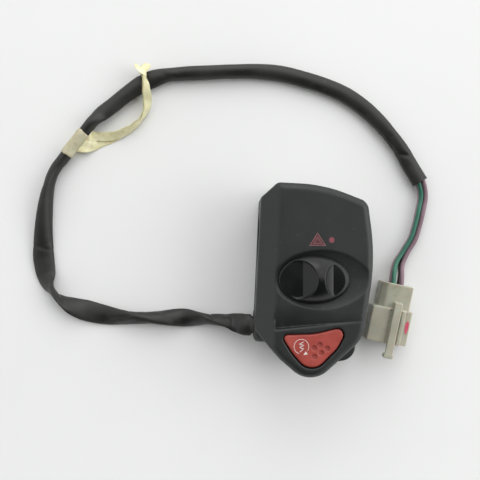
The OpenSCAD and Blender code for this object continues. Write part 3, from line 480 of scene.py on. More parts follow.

# Cords: the sleeve, lifted where the tape goes round it, and the four wires

sleeveSet = {
    "diameter": 0.007, "exit": (-0.0253, -0.0386, -0.008),  # m
    # the route of its middle (mm), and its height above the table where the route isn't at rest
    "route": [
        (-9.2, -38.6), (-25.3, -38.6), (-30, -38), (-36, -37), (-46, -36.5), (-57, -36), (-68, -36),
        (-79, -36), (-90, -35), (-99, -33), (-106, -30.5), (-112, -26.5), (-116, -21.5), (-118, -15.5),
        (-119, -8.5), (-119, -1), (-118.5, 7.5), (-117.5, 16), (-116, 24), (-113.5, 31), (-109, 37),
        (-99.5, 49), (-94, 55), (-87, 60.5), (-80, 66), (-73, 70.5), (-65, 73.5), (-56, 74.5), (-45, 75),
        (-33, 75.5), (-21.5, 75.5), (-10.5, 74.5), (-0.5, 72), (9, 69), (18, 65), (26, 59.5), (33, 53),
        (39, 46), (44, 39), (48, 32), (52, 25.5),
    ],
    "rest": 3.5, "heights": {0: 8, 1: 8, 2: 6.5, 3: 4.3, 19: 3.7, 20: 4, 21: 4, 22: 3.7},
    # how the tube is squashed and turned: place on the route, half width, half height (mm), turn (degrees)
    "squash": [
        (0, 4.8, 2.3, -6), (1.2, 4.8, 2.2, -8), (1.7, 4.7, 2.1, -12), (2.1, 4.6, 2.0, -22),
        (2.5, 4.5, 2.0, -38), (2.9, 4.3, 2.0, -54), (3.5, 3.8, 2.6, -76), (4.0, 3.9, 2.3, -128),
        (4.6, 4.2, 2.0, -164), (5.3, 4.0, 2.2, -206), (6.0, 3.8, 2.7, -244), (6.6, 3.7, 2.8, -292),
        (7.2, 4.0, 2.3, -322), (8.0, 4.5, 1.7, -350), (9.0, 4.8, 1.5, -368), (10, 4.3, 1.7, -396),
        (10.7, 4.0, 1.6, -432), (11.3, 4.0, 1.6, -458), (12.2, 4.4, 1.7, -512), (13, 4.7, 1.6, -534),
        (14, 4.8, 1.6, -544), (15, 4.3, 2.0, -548), (16, 3.8, 2.6, -560), (17, 3.6, 2.7, -592),
        (18, 3.6, 2.4, -624), (19, 3.1, 2.4, -630), (20, 2.75, 2.6, -630), (21, 2.75, 2.6, -630),
        (21.5, 3.7, 2.7, -640), (22.2, 3.8, 2.6, -700), (23.5, 3.5, 2.8, -716), (24.6, 3.9, 2.6, -722),
        (25.1, 4.1, 2.5, -722), (25.6, 4.0, 2.5, -724), (26.3, 3.0, 2.9, -736), (27.5, 3.3, 3.0, -760),
        (29, 3.3, 3.1, -790), (31, 3.6, 2.8, -720), (33, 3.7, 2.7, -712), (35, 3.6, 2.8, -730),
        (37, 3.4, 2.9, -768), (38.4, 3.5, 2.8, -740), (40, 3.6, 3.1, -720),
    ],
    # creases across it: place on the route, width (mm), depth (mm), slant (mm)
    "creases": [
        (2.5, 1.6, 0.3, 4), (3.25, 1.5, 0.35, -3.5), (3.75, 1.2, 0.35, 3), (5.55, 1.4, 0.4, -4),
        (5.95, 1.2, 0.35, 4), (6.4, 0.9, 0.45, -6), (7.0, 1.0, 0.3, -5), (7.5, 0.9, 0.45, -6),
        (10.9, 1.8, 0.4, 4), (11.6, 1.4, 0.3, -3.5), (14.55, 0.9, 0.7, 1.2), (14.75, 0.8, 0.4, -1.4),
        (17.6, 2.2, 0.25, 4), (22.6, 1.5, 0.25, -3), (25.2, 1.4, 0.7, 0.6), (26.2, 2.2, 0.3, 3),
        (37.2, 2.4, 0.3, 4), (38.1, 1.5, 0.55, -3),
    ],
    "creaseShare": (0.35, 0.4),  # share of a crease's depth on the underside, and along the width
    "squareness": (0.28, 1.2),  # how much a flat tube leaves the oval, and the flatness that counts at most
    "grommet": (3.4, 0.9, 0.08),  # round in the grommet: radius, last place, run to the free form
    "outlet": (8.0, 1.0, 1.6),  # height of the outlet above the table, its place, run down to the table
    "lift": (3.55, 4),  # heights of the route above this lift the tube, up to this place
    "tape": (20.06, 20.94), "tapeLift": (0.35, 0.1),  # places of the tape, its lift, reach beyond its ends
    "clear": 0.03, "lowest": 0.02, "wall": 0.8, "sides": 40, "step": 0.6,
    "mouth": 26,  # steps at the open end that have an inner wall
}


# Running mean under a bell
def soften(values, reach=5, spread=2):
    bell = np.exp(-np.linspace(-spread, spread, 2 * reach + 1) ** 2)
    bell /= bell.sum()
    return np.convolve(np.pad(values, reach, mode="edge"), bell, mode="valid")


def alongSleeve():
    s = sleeveSet
    route = np.array([(*spot, s["heights"].get(i, s["rest"])) for i, spot in enumerate(s["route"])], float)
    line, far = splined(route, s["step"])
    place = placesOn(route, line)
    knots = np.array(s["squash"])
    wide, tall, turn = (soften(np.interp(place, knots[:, 0], knots[:, k])) for k in (1, 2, 3))
    radius, last, run = s["grommet"]
    free = np.clip((place - last) / run, 0, 1)
    wide, tall = (radius + (v - radius) * free for v in (wide, tall))
    turn = np.radians(turn) * free
    half = np.sqrt((wide * np.sin(turn)) ** 2 + (tall * np.cos(turn)) ** 2)
    level, last = s["lift"]
    tapeLift, reach = s["tapeLift"]
    onTape = (place > s["tape"][0] - reach) & (place < s["tape"][1] + reach)
    lift = np.where(place < last, np.maximum(line[:, 2] - level, 0), np.where(onTape, tapeLift, 0.0))
    line[:, 2] = tableZ + s["clear"] + half + soften(soften(lift))
    height, start, run = s["outlet"]
    ease = np.clip((place - start) / run, 0, 1)
    ease = ease * ease * (3 - 2 * ease)
    line[:, 2] = (tableZ + height) * (1 - ease) + line[:, 2] * ease
    return {"line": line, "place": place, "wide": wide, "tall": tall, "turn": turn, "far": far}


sleeveRun = alongSleeve()


def tubeRings(run, creases=(), extra=0.0):
    line, wide, tall = run["line"], run["wide"][:, None], run["tall"][:, None]
    _, side, up = headings(line)
    angle = np.linspace(0, fullTurn, sleeveSet["sides"], endpoint=False)
    gain, most = sleeveSet["squareness"]
    power = 2 / (2 - gain * np.clip(wide / tall - 1, 0, most))
    c, s = np.cos(angle)[None], np.sin(angle)[None]
    u = np.sign(c) * np.abs(c) ** power * (wide + extra)
    v = np.sign(s) * np.abs(s) ** power * (tall + extra)
    far = np.r_[0, np.cumsum(np.linalg.norm(np.diff(line, axis=0), axis=1))]
    under, sideways = sleeveSet["creaseShare"]
    shrink = np.zeros_like(u)
    for at, width, depth, slant in creases:
        near = np.interp(at, run["place"], far)
        fall = np.exp(-((far[:, None] - near - slant * c) / width) ** 2)
        shrink += depth * fall * (under + (1 - under) * np.maximum(s, 0))
    scale = 1 - shrink / np.maximum(np.hypot(u, v), 1)
    u, v = u * (1 - (1 - scale) * sideways), v * scale
    a, b = np.cos(run["turn"])[:, None], np.sin(run["turn"])[:, None]
    across, upward = u * a - v * b, u * b + v * a
    return line[:, None] + across[..., None] * side[:, None] + upward[..., None] * up[:, None]


def makeSleeve():
    outer = tubeRings(sleeveRun, sleeveSet["creases"])
    outer[..., 2] = np.maximum(outer[..., 2], tableZ + sleeveSet["lowest"])
    mouth = {k: v[-sleeveSet["mouth"]:] for k, v in sleeveRun.items()}
    rings = np.concatenate([outer, tubeRings(mouth, extra=-sleeveSet["wall"])[::-1]])
    piece = addMesh("sleeve", rings.reshape(-1, 3), ringFaces(*rings.shape[:2])[:, ::-1])
    return dress(piece, "sleeveVinyl", stands=["cable_sleeve"])


sleeve = makeSleeve()

wireSet = {
    "diameter": 0.002, "fineness": 5, "step": 0.8,
    # middle of the four: x, y, half the spread, height of the middle above the table, in metres
    "route": [
        (0.050, 0.0285, 0.00105, 0.0035), (0.052, 0.0255, 0.00105, 0.0033),
        (0.0535, 0.0195, 0.00105, 0.00215), (0.0525, 0.013, 0.00105, 0.00215),
        (0.051, 0.0065, 0.00105, 0.00215), (0.049, 0.0, 0.00105, 0.00215),
        (0.0455, -0.006, 0.00105, 0.00215), (0.0425, -0.0115, 0.00145, 0.00255),
        (0.0412, -0.016, 0.0018, 0.005),
    ],
    # the connector's place and turn, its cells (half spacings, middle height), a wire's end in it
    "plug": (40.4, -20.4), "plugTurn": 168, "cell": (1.8, 2.5, 6.2), "wireEnd": 3.9,
    "sides": {"green": (1, 1), "violet": (-1, 1), "black": (-1, -1), "mauve": (1, -1)},
}


def fromPlug(x, y, z):
    a = math.radians(wireSet["plugTurn"])
    return (x * math.cos(a) - y * math.sin(a) + wireSet["plug"][0],
            x * math.sin(a) + y * math.cos(a) + wireSet["plug"][1], z + tableZ)


def wireLine(side, level):
    route = np.array(wireSet["route"]) / mm
    middle = route[:, [0, 1, 3]] + (0, 0, tableZ)
    _, across, _ = headings(middle)
    spread = route[:, 2]
    points = middle + side * spread[:, None] * across
    points[:, 2] += level * spread
    fan, rise, cell = wireSet["cell"]
    ends = [fromPlug(side * fan, y, cell + level * rise) for y in (0, wireSet["wireEnd"])]
    return splined(np.vstack([points, ends]), wireSet["step"])[0] * mm


def makeWire(colour, side, level):
    line = wireLine(side, level)
    piece = addCurve(colour + "Wire", [line], wireSet["diameter"], wireSet["fineness"])
    dress(piece, colour + "Vinyl", stands=[colour + "_wire"])
    return piece, line


wires = {colour: makeWire(colour, *spot) for colour, spot in wireSet["sides"].items()}
print("cords made: sleeve", round(sleeveRun["far"][-1]), "mm and", len(wires), "wires")

# Masking tape: the wound band and its loose tail

bandSet = {
    "thick": 0.28, "under": 0.03, "clear": 0.02,
    "lap": (0.35, 0.1), "layers": (0.9, 0.75),  # the lap's start and skew, its least thickness and gain
    # waves: depth, pace round the sleeve, pace along it
    "rumple": [(0.05, 5, 9), (0.04, 11, -31), (0.05, 2, 40)],
    "ragged": [(0.35, 2, 0.7), (0.2, 5, 0), (0.1, 13, 0)], "ends": (3, 0.6),  # rows that are torn, how far
}
tailSet = {
    "flat": (0.013, 0.066),
    # x, y, lowest point above the table, fold (0 open, 1 in three layers), turn on its own line (degrees)
    "rows": [
        (-100.0, 43.7, 3.2, 0.15, 0), (-98.5, 43.9, 2.0, 0.25, 0), (-96.8, 44.3, 0.8, 0.4, 0),
        (-94.8, 44.8, 0.2, 0.6, 2), (-92.0, 45.3, 0.15, 0.75, 6), (-88.0, 46.2, 0.15, 0.9, 16),
        (-83.2, 48.2, 0.15, 1.0, 46), (-78.6, 50.9, 0.15, 1.0, 66), (-74.6, 55.0, 0.2, 1.0, 82),
        (-72.5, 58.8, 0.8, 1.0, 62), (-71.8, 62.6, 2.6, 1.0, 34), (-71.8, 66.0, 5.0, 1.0, 40),
        (-72.1, 69.0, 5.9, 1.0, 58), (-72.8, 72.0, 6.0, 1.0, 74), (-73.4, 74.4, 5.6, 0.9, 40),
        (-73.6, 76.4, 4.8, 0.75, 10), (-73.5, 78.2, 4.0, 0.62, 0),
    ],
    "root": (52, 3),  # heading of the first rows (degrees), how many it takes to leave it
    "layers": 3, "sharp": 0.97, "stack": 1.05,  # of the fold: layers, sharpness of its edges, height
    # waves: depth, pace across, pace along
    "wrinkle": [(0.3, 17, 0.9), (0.24, 9, -1.7)], "ripple": [(0.12, 8, 1.3)], "torn": [(1.2, 7, 0)],
    "tip": (3.2, 2.2), "notch": (4.0, 0.52, 0.16),  # rows of the tip; depth, middle and width of its notch
    "columns": 25, "step": 0.55, "clear": 0.1, "thick": 0.00014,
}


def makeBand():
    s, place = bandSet, sleeveRun["place"]
    on = (place >= sleeveSet["tape"][0]) & (place <= sleeveSet["tape"][1])
    run = {k: v[on] for k, v in sleeveRun.items()}
    angle = np.linspace(0, fullTurn, sleeveSet["sides"], endpoint=False)[None]
    along = np.linspace(0, 1, on.sum())[:, None]
    lap = (angle / fullTurn + s["lap"][0] + s["lap"][1] * along) % 1
    thick = s["thick"] * (s["layers"][0] + s["layers"][1] * lap) + waves(s["rumple"], angle, along)
    outer = tubeRings(run, extra=thick)
    ahead, _, _ = headings(run["line"])
    ragged = waves(s["ragged"], angle, 1)
    count, reach = s["ends"]
    for end, sign in ((slice(0, count), -1), (slice(-count, None), 1)):
        outer[end] += sign * ragged[..., None] * ahead[end][:, None] * reach
    inner = tubeRings(run, extra=s["under"])
    rings = np.concatenate([inner[:1], outer, inner[-1:]])
    rings[..., 2] = np.maximum(rings[..., 2], tableZ + s["clear"])
    piece = addMesh("tapeBand", rings.reshape(-1, 3), ringFaces(*rings.shape[:2])[:, ::-1])
    return dress(piece, "bandTape", stands=["tape_band"])


def makeTail():
    s = tailSet
    rows = np.array(s["rows"], float)
    line, far = splined(rows[:, :3], s["step"])
    place = placesOn(rows[:, :3], line)
    fold, turn = (np.interp(place, np.arange(len(rows)), rows[:, k])[:, None] for k in (3, 4))
    ahead = np.gradient(line, axis=0)
    lean = np.unwrap(np.arctan2(ahead[:, 1], ahead[:, 0])) + math.pi / 2
    heading, count = s["root"]
    root = np.clip(1 - place / count, 0, 1)
    lean = lean * (1 - root) + math.radians(heading) * root
    width, layers, sharp = s["flat"][0] / mm, s["layers"], s["sharp"]
    u, v = np.linspace(0, 1, s["columns"])[None], far[:, None]
    zig = np.arcsin(sharp * np.sin(layers * math.pi * u - math.pi / 2)) / math.asin(sharp)
    lateral = (1 - fold) * (u - 0.5) * width + fold * zig * width / (2 * layers)
    stack = fold * s["stack"] * u + (1 - fold) * waves(s["wrinkle"], u, v) + waves(s["ripple"], u, v)
    turn = np.radians(turn)
    side = lateral * np.cos(turn) - stack * np.sin(turn)
    height = lateral * np.sin(turn) + stack * np.cos(turn)
    height -= height.min(1, keepdims=True)
    before, length = s["tip"]
    tip = np.clip((place - (len(rows) - before)) / length, 0, 1)[:, None]
    depth, middle, half = s["notch"]
    notch = tip * (waves(s["torn"], u, 0) - depth * np.exp(-((u - middle) / half) ** 2))
    ahead /= np.linalg.norm(ahead, axis=1)[:, None]
    across = np.stack([np.cos(lean), np.sin(lean), 0 * lean], 1)
    points = line[:, None] + side[..., None] * across[:, None]
    points[..., 2] += height + tableZ
    points += notch[..., None] * ahead[:, None]
    points[..., 2] = np.maximum(points[..., 2], tableZ + s["clear"])
    piece = addMesh("tapeTail", points.reshape(-1, 3), ringFaces(*points.shape[:2], closed=False))
    paper = piece.modifiers.new("paper", "SOLIDIFY")
    paper.thickness, paper.offset = s["thick"], 0
    return dress(piece, "tailTape", stands=["tape_tail"])


tapeBand = makeBand()
tapeTail = makeTail()
print("tape made:", len(tapeBand.data.polygons), len(tapeTail.data.polygons), "faces")

# Connector on the wires, lengthwise along y from the wires' side

plugSet = {
    "half": 9.3, "long": 26.5, "high": 12.4, "wall": 1.6, "cavity": 12.0, "step": (3.6, 3.4),
    "rear": 11.0, "rearInset": (2.4, 0.5, 1.0),  # the wires' block: length, inset at sides, bottom, top
    "slope": (5.6, 0.62, 10.4, 0.78),  # its cut corner: x and its share, z and its share
    "latch": (-1.2, 3.4, 1.5, 0.8),  # middle, width, thickness, gap under it
    "foot": (3.0, 2.0),  # half length, depth
    "hook": (32.5, 1.8, 2.0, 0.4),  # end, length, height, extra width
    "groove": (0.55, 0.4, 0.6, 0.7),  # off the latch, half width, start, depth
    "hole": (1.15, 16.0),  # for a wire: radius, depth
    "soft": 0.5, "fine": 0.3, "latchSoft": 0.35, "leverSoft": 0.25, "hookSoft": 0.4, "holeSoft": 0.2,
    "overlap": 1.0, "over": 2.0,  # how far the block goes into the shroud, a cut past the solid
    "low": (-9.8, -0.5, -0.2), "top": (9.8, 33, 15.2), "grid": 0.2,
}


def plugField(x, y, z):
    p = plugSet
    half, high, wall, soft, fine, over = (p[k] for k in ("half", "high", "wall", "soft", "fine", "over"))
    side, bottom, top = p["rearInset"]
    start, end = p["rear"], p["long"]
    rear = boxField(x, y, z, side - half, half - side, 0, start + p["overlap"],
                    bottom, high - top, soft)
    cutX, shareX, cutZ, shareZ = p["slope"]
    rear = softMax(rear, (x - cutX) * shareX + (z - cutZ) * shareZ, soft)
    stepWide, stepDeep = p["step"]
    ledge = boxField(x, y, z, -half - over, stepWide - half, start - over, end + over,
                     high - stepDeep, high + over)
    shroud = softMax(boxField(x, y, z, -half, half, start, end, 0, high, soft), -ledge, soft)
    body = softMin(rear, shroud, soft)
    middle, wide, thick, gap = p["latch"]
    left, right, under = middle - wide / 2, middle + wide / 2, high + gap
    off, grooveHalf, grooveFrom, deep = p["groove"]
    for edge in (left - off, right + off):
        groove = boxField(x, y, z, edge - grooveHalf, edge + grooveHalf, start + grooveFrom, end + over,
                          high - deep, high + over)
        body = softMax(body, -groove, fine)
    reach, deep = p["foot"]
    foot = boxField(x, y, z, left, right, start - reach, start + reach,
                    high - deep, under + thick, p["latchSoft"])
    tip, hookLong, hookHigh, more = p["hook"]
    lever = boxField(x, y, z, left, right, start, tip, under, under + thick, p["latchSoft"])
    hook = boxField(x, y, z, left - more, right + more, tip - hookLong, tip,
                    under - hookHigh, under + thick, p["hookSoft"])
    body = softMin(softMin(softMin(body, foot, soft), lever, p["leverSoft"]), hook, p["hookSoft"])
    cavity = (end - p["cavity"], end + 2 * over, wall)
    mouth = boxField(x, y, z, stepWide - half + wall, half - wall, *cavity, high - wall, fine)
    low = boxField(x, y, z, wall - half, half - wall, *cavity, high - stepDeep - wall, fine)
    body = softMax(body, -np.minimum(mouth, low), fine)
    fan, rise, cell = wireSet["cell"]
    radius, deep = p["hole"]
    for cx in (-fan, fan):
        for cz in (cell - rise, cell + rise):
            hole = np.sqrt((x - cx) ** 2 + (z - cz) ** 2) - radius
            body = softMax(body, -np.maximum(hole, np.maximum(-over - y, y - deep)), p["holeSoft"])
    return body


def makePlug():
    piece = fieldMesh("connectorShell", plugField, plugSet["low"], plugSet["top"], plugSet["grid"])
    for v in piece.data.vertices:
        v.co = Vector(fromPlug(*(v.co / mm))) * mm
    return dress(piece, "nylon", stands=["connector_housing"])


connector = makePlug()
print("connector made:", len(connector.data.polygons), "faces")

# Housing: two moulded covers, drawn as distances from their walls

coverSet = {
    # corners of the outline: x, y, radius
    "corners": [(-21.1, 16.6, 1.5), (-14.2, 22.6, 3), (4.4, 21.6, 60), (22.1, 14.6, 5), (25, -8, 90),
                (20.3, -40.4, 14), (-1, -59.8, 10.3), (-13.6, -49, 16), (-23.6, -37.6, 2.5)],
    "wall": 2.4, "faceWall": 3.2, "edge": 3.0, "backEdge": 2.5, "seam": 1.2, "back": -16.0, "barBore": 11.1,
    "flank": (-14.2, 0.851, -2.0), "crease": 1.0,  # where it starts, slope, turn in degrees; rounding there
    "screws": [(-5, 16.4), (-17.4, -26), (16.5, -32)],
    "boss": (3.6, 19.8), "pilot": (2.05, -2, 13),  # radius and top; radius, from and to
    "rearBoss": (4.5, 0.4), "screwHole": (2.1, -20, 2),  # radius and inset; radius, from and to
    "headHole": (3.3, -20, -11.8), "headLip": 0.4,
    "ribs": [(-11, -8.5), (8.5, 11)], "ribAcross": (-12.2, 21.4), "ribEnds": (-15, 21), "ribInset": 1.2,
    "posts": [(-10.6, -18.5, 4), (16.4, -18.5, 4), (-7.5, -32.8, 8), (5.5, -32.8, 8)],  # x, y, foot
    "post": (2.6, 1.05, -2, 7),  # radius, radius of its bore, the bore's ends off the foot
    # boxes for the slide
    "guide": (-5.8, 12.2, -21.6, -13.1, 11, 19.4), "slot": (-3, 9.4, -18.8, -14.4, 9, 21),
    # round the button: collar (gap, from, to), opening (gap, lip), its flange's room (gap, y, top), low end
    "collar": (1.9, 16, 21), "opening": (0.4, 0.5), "pocket": (1.5, -44.7, 16), "buttonLow": 11.95,
    "low": (-25, -58), "high": (25.5, 23), "grid": 0.3, "keep": 0.4,  # extent, cells, share of faces kept
}
dishSet = {
    "middle": (3.7, -16.7), "half": (19.4, 11.4), "depth": 2.0, "wall": 2.0, "lip": 0.9,
    "lean": 0.35, "point": 1.43, "rounds": 8, "least": 1e-4,  # deeper to the left, pointed to the right
}
valleySet = {
    "from": (-15.5, -36.3), "turn": 5, "fade": 3.5,  # degrees
    "depth": 2.0, "ramp": 7.7, "step": 0.6, "lip": 0.8, "end": 0.5,
}
buttonSet = {
    "middle": (-0.4, -43.5),
    "corners": [(-12.8, 4.6, 1.6), (0.4, 4.9, 25), (14.6, 8.3, 2.6), (10, -0.7, 12), (-0.6, -11.4, 6.3),
                (-8.1, -3, 20)],
    "top": 21.5, "edge": 0.8, "cap": 2.0, "skirt": 1.3, "low": 14.55, "flange": (1.3, 1.4, -44.5),
    "dimples": [(0.6, -0.7), (2.8, 0.6), (5.8, -0.9), (3.4, -2.7), (0.6, -4.2)],
    "dimple": (1.05, 0.6, 0.25, 0.25),  # radius, depth, rounding below, rounding at the lip
    "plunger": (-1.0, -44.9, 2.8, 4.1), "neck": (1.5, 2.0), "overlap": 1,
    "from": (-16, -56, 2), "to": (16, -34, 21.6), "grid": 0.2,
}
coverPlan = roundedPlan(coverSet["corners"])
buttonX, buttonY = buttonSet["middle"]
buttonPlan = roundedPlan([(x + buttonX, y + buttonY, r) for x, y, r in buttonSet["corners"]])


# Distance from a bowl whose rim is an oval drawn to a point on its right
def bowlField(x, y, z, grow=0.0):
    (cx, cy), (a, b) = dishSet["middle"], dishSet["half"]
    u, v = np.broadcast_arrays(x[:, :, 0] - cx, y[:, :, 0] - cy)
    u, v = u / (a + grow), np.abs(v) / (b + grow)
    reach = np.hypot(u, v) + dishSet["least"]
    sharp = np.where(u > 0, dishSet["point"], 2.0)
    for _ in range(dishSet["rounds"]):
        p, q = (u / reach) ** 2, (v / reach) ** sharp
        reach = reach * np.exp((p + q - 1) / (2 * p + sharp * q + tiny))
    slope = np.hypot(*np.gradient(reach, x[1, 0, 0] - x[0, 0, 0]))
    reach, slope = reach[:, :, None], slope[:, :, None]
    deep = (dishSet["depth"] + grow) * (1 - dishSet["lean"] * np.clip((x - cx) / (a + grow), -1, 1))
    sink = np.maximum(faceZ - z, 0) / deep
    k = np.sqrt(reach ** 2 + sink ** 2)
    return (k - 1) * k / np.sqrt((reach * slope) ** 2 + (sink / deep) ** 2 + tiny)


def flankField(x, y, z):
    crease, slope, turn = coverSet["flank"]
    along = x * math.cos(math.radians(turn)) + y * math.sin(math.radians(turn))
    return (z - faceZ - (along - crease) * slope) / math.hypot(1, slope)


# Ramp below the dish, from a step at the button's collar up to the face, shallower to the right
def valleyField(x, y, z):
    v = valleySet
    turn, fade = math.radians(v["turn"]), math.radians(v["fade"])
    dx, dy, dz = x - v["from"][0], y - v["from"][1], z - faceZ
    ahead, up = dx * math.cos(turn) + dy * math.sin(turn), dy * math.cos(turn) - dx * math.sin(turn)
    along = ahead * math.cos(fade) + dz * math.sin(fade)
    high = dz * math.cos(fade) - ahead * math.sin(fade)
    rise, drop = v["depth"] / v["ramp"], v["depth"] / v["step"]
    ramp = (rise * up - v["depth"] - high) / math.hypot(1, rise)
    step = (-drop * up - v["depth"] - high) / math.hypot(1, drop)
    return softMax(np.maximum(np.maximum(ramp, step), -v["step"] - up), -along, v["end"])


def frontField(x, y, z):
    s, wall = coverSet, coverSet["wall"]
    plan, button = planField(coverPlan, x, y), planField(buttonPlan, x, y)
    flank = flankField(x, y, z)
    outer = roundEdge(plan, z - faceZ, s["edge"])
    outer = softMax(softMax(outer, -z, s["seam"]), flank, s["crease"])
    inside = np.maximum(np.maximum(plan + wall, z - faceZ + s["faceWall"]), flank + wall)
    extras = np.minimum(bowlField(x, y, z, dishSet["wall"]), boxField(x, y, z, *s["guide"]))
    radius, top = s["boss"]
    for sx, sy in s["screws"]:
        extras = np.minimum(extras, rodZ(x, y, z, sx, sy, radius, 0, top))
    radius, bore, boreFrom, boreTo = s["post"]
    for sx, sy, foot in s["posts"]:
        extras = np.minimum(extras, rodZ(x, y, z, sx, sy, radius, foot, top))
    for x0, x1 in s["ribs"]:
        extras = np.minimum(extras, boxField(x, y, z, x0, x1, *s["ribAcross"], 0, s["ribEnds"][1]))
    gap, low, high = s["collar"]
    extras = np.minimum(extras, np.maximum(button - gap, np.maximum(low - z, z - high)))
    body = np.maximum(outer, np.minimum(-inside, extras))
    body = np.maximum(body, softMax(outer, -bowlField(x, y, z), dishSet["lip"]))
    body = np.maximum(body, softMax(outer, -valleyField(x, y, z), valleySet["lip"]))
    below = s["buttonLow"] - z
    gap, flangeY, top = s["pocket"]
    pocket = np.maximum(np.maximum(button - gap, flangeY - y), np.maximum(below, z - top))
    body = np.maximum(body, -np.minimum(boxField(x, y, z, *s["slot"]), pocket))
    gap, lip = s["opening"]
    body = softMax(body, -np.maximum(button - gap, below), lip)
    body = np.maximum(body, s["barBore"] - np.sqrt(y * y + z * z))
    for sx, sy in s["screws"]:
        body = np.maximum(body, -rodZ(x, y, z, sx, sy, *s["pilot"]))
    for sx, sy, foot in s["posts"]:
        body = np.maximum(body, -rodZ(x, y, z, sx, sy, bore, foot + boreFrom, foot + boreTo))
    return body


spoutSet = {
    "middle": (-38.6, -8.0), "from": -23.8, "to": -11.8, "radius": 7.385, "round": 3.0, "join": 0.8,
    "bore": (5.185, -40, -5), "recess": (6.385, -11.8, -5.8),  # radius, from and to
}
lugSet = {
    "corners": [(8, -44, 1), (20.9, -43, 3), (20.7, -52.8, 6.5), (13, -54, 2), (9, -50.2, 1)],
    "z": (-13.5, -2.5), "join": 0.8,
}


def rearField(x, y, z):
    s, p = coverSet, spoutSet
    plan = planField(coverPlan, x, y)
    outer = softMax(roundEdge(plan, s["back"] - z, s["backEdge"]), z, s["seam"])
    inside = np.maximum(plan + s["wall"], s["back"] + s["faceWall"] - z)
    walls = -inside
    radius, inset = s["rearBoss"]
    for sx, sy in s["screws"]:
        walls = np.minimum(walls, np.maximum(rodZ(x, y, z, sx, sy, radius, s["back"], 0), plan + inset))
    for x0, x1 in s["ribs"]:
        rib = boxField(x, y, z, x0, x1, *s["ribAcross"], s["ribEnds"][0], 0)
        walls = np.minimum(walls, np.maximum(rib, plan + s["ribInset"]))
    body = np.maximum(outer, walls)
    spoutY, spoutZ = p["middle"]
    spout = softMax(np.hypot(y - spoutY, z - spoutZ) - p["radius"], p["from"] - x, p["round"])
    spout = np.maximum(softMax(spout, z, s["seam"]), x - p["to"])
    body = softMin(body, spout, p["join"])
    low, high = lugSet["z"]
    lug = np.maximum(planField(roundedPlan(lugSet["corners"]), x, y), np.maximum(low - z, z - high))
    body = softMin(body, np.maximum(lug, -inside), lugSet["join"])
    body = np.maximum(body, s["barBore"] - np.sqrt(y * y + z * z))
    for hole in ("bore", "recess"):
        body = np.maximum(body, -rodX(x, y, z, spoutY, spoutZ, *p[hole]))
    for sx, sy in s["screws"]:
        body = np.maximum(body, -rodZ(x, y, z, sx, sy, *s["screwHole"]))
        body = softMax(body, -rodZ(x, y, z, sx, sy, *s["headHole"]), s["headLip"])
    return body


def makeCover(side, field, low, high):
    s = coverSet
    piece = fieldMesh(side + "Cover", field, (*s["low"], low), (*s["high"], high), s["grid"])
    piece.modifiers.new("fewerFaces", "DECIMATE").ratio = s["keep"]
    return piece


frontCover = makeCover("front", frontField, 0, faceZ)
dress(frontCover, "coverPlastic", stands=["front_cover"])
rearCover = makeCover("rear", rearField, coverSet["back"], 0)
dress(rearCover, "rearPlastic", stands=["rear_cover"])
print("covers made:", len(frontCover.data.polygons), len(rearCover.data.polygons), "faces")

# Screws that hold the covers together, from the back

screwSet = {
    "head": (3.1, -14.2, -11.8), "round": 1.1,  # radius, low and high end
    "cross": (2.1, 0.5, 1.5), "taper": (0.6, 0.12), "crossLip": 0.15,  # half length, half width, depth
    "shank": (1.98, 11.9), "thread": (1.3, 0.4), "tip": 0.6, "overlap": 0.5,  # radius, end; pitch, depth
    "steep": (0.8, 0.7),  # what turns the thread's and the tip's slopes into distances
    "turns": (18, 74, 47), "grid": 0.22,
}


def screwField(x, y, z):
    s = screwSet
    radius, low, high = s["head"]
    out, into = np.hypot(x, y), z - low
    head = np.maximum(roundEdge(out - radius, -into, s["round"]), z - high)
    half, wide, deep = s["cross"]
    narrower, thinner = s["taper"]
    for u, v in ((x, y), (y, x)):
        arm = np.maximum(np.abs(u) - half + narrower * into, np.abs(v) - wide + thinner * into)
        head = softMax(head, -np.maximum(arm, into - deep), s["crossLip"])
    radius, end = s["shank"]
    pitch, deep = s["thread"]
    turn = (z / pitch - np.arctan2(y, x) / fullTurn) % 1
    shank = s["steep"][0] * (out - radius + deep * np.abs(2 * turn - 1))
    tip = s["steep"][1] * (out + z - end - s["tip"])
    return np.minimum(head, np.maximum(np.maximum(shank, tip), high - s["overlap"] - z))


def makeScrews():
    r, low, _ = screwSet["head"]
    one = fieldMesh("screwShape", screwField, (-r, -r, low), (r, r, screwSet["shank"][1]), screwSet["grid"])
    points = np.empty(3 * len(one.data.vertices))
    one.data.vertices.foreach_get("co", points)
    faces = np.array([f.vertices[:] for f in one.data.polygons])
    bpy.data.objects.remove(one)
    points = points.reshape(-1, 3) / mm
    copies, copiedFaces = [], []
    for i, ((x, y), turn) in enumerate(zip(coverSet["screws"], screwSet["turns"])):
        c, s = math.cos(math.radians(turn)), math.sin(math.radians(turn))
        copies.append(points @ np.array([(c, s, 0), (-s, c, 0), (0, 0, 1)]) + (x, y, 0))
        copiedFaces.append(faces + i * len(points))
    piece = addMesh("housingScrews", np.vstack(copies), np.vstack(copiedFaces))
    return dress(piece, "zincSteel", stands=["housing_screws"])


housingScrews = makeScrews()
print("screws made:", len(housingScrews.data.polygons), "faces")

# Thumb slide with its two finger scoops

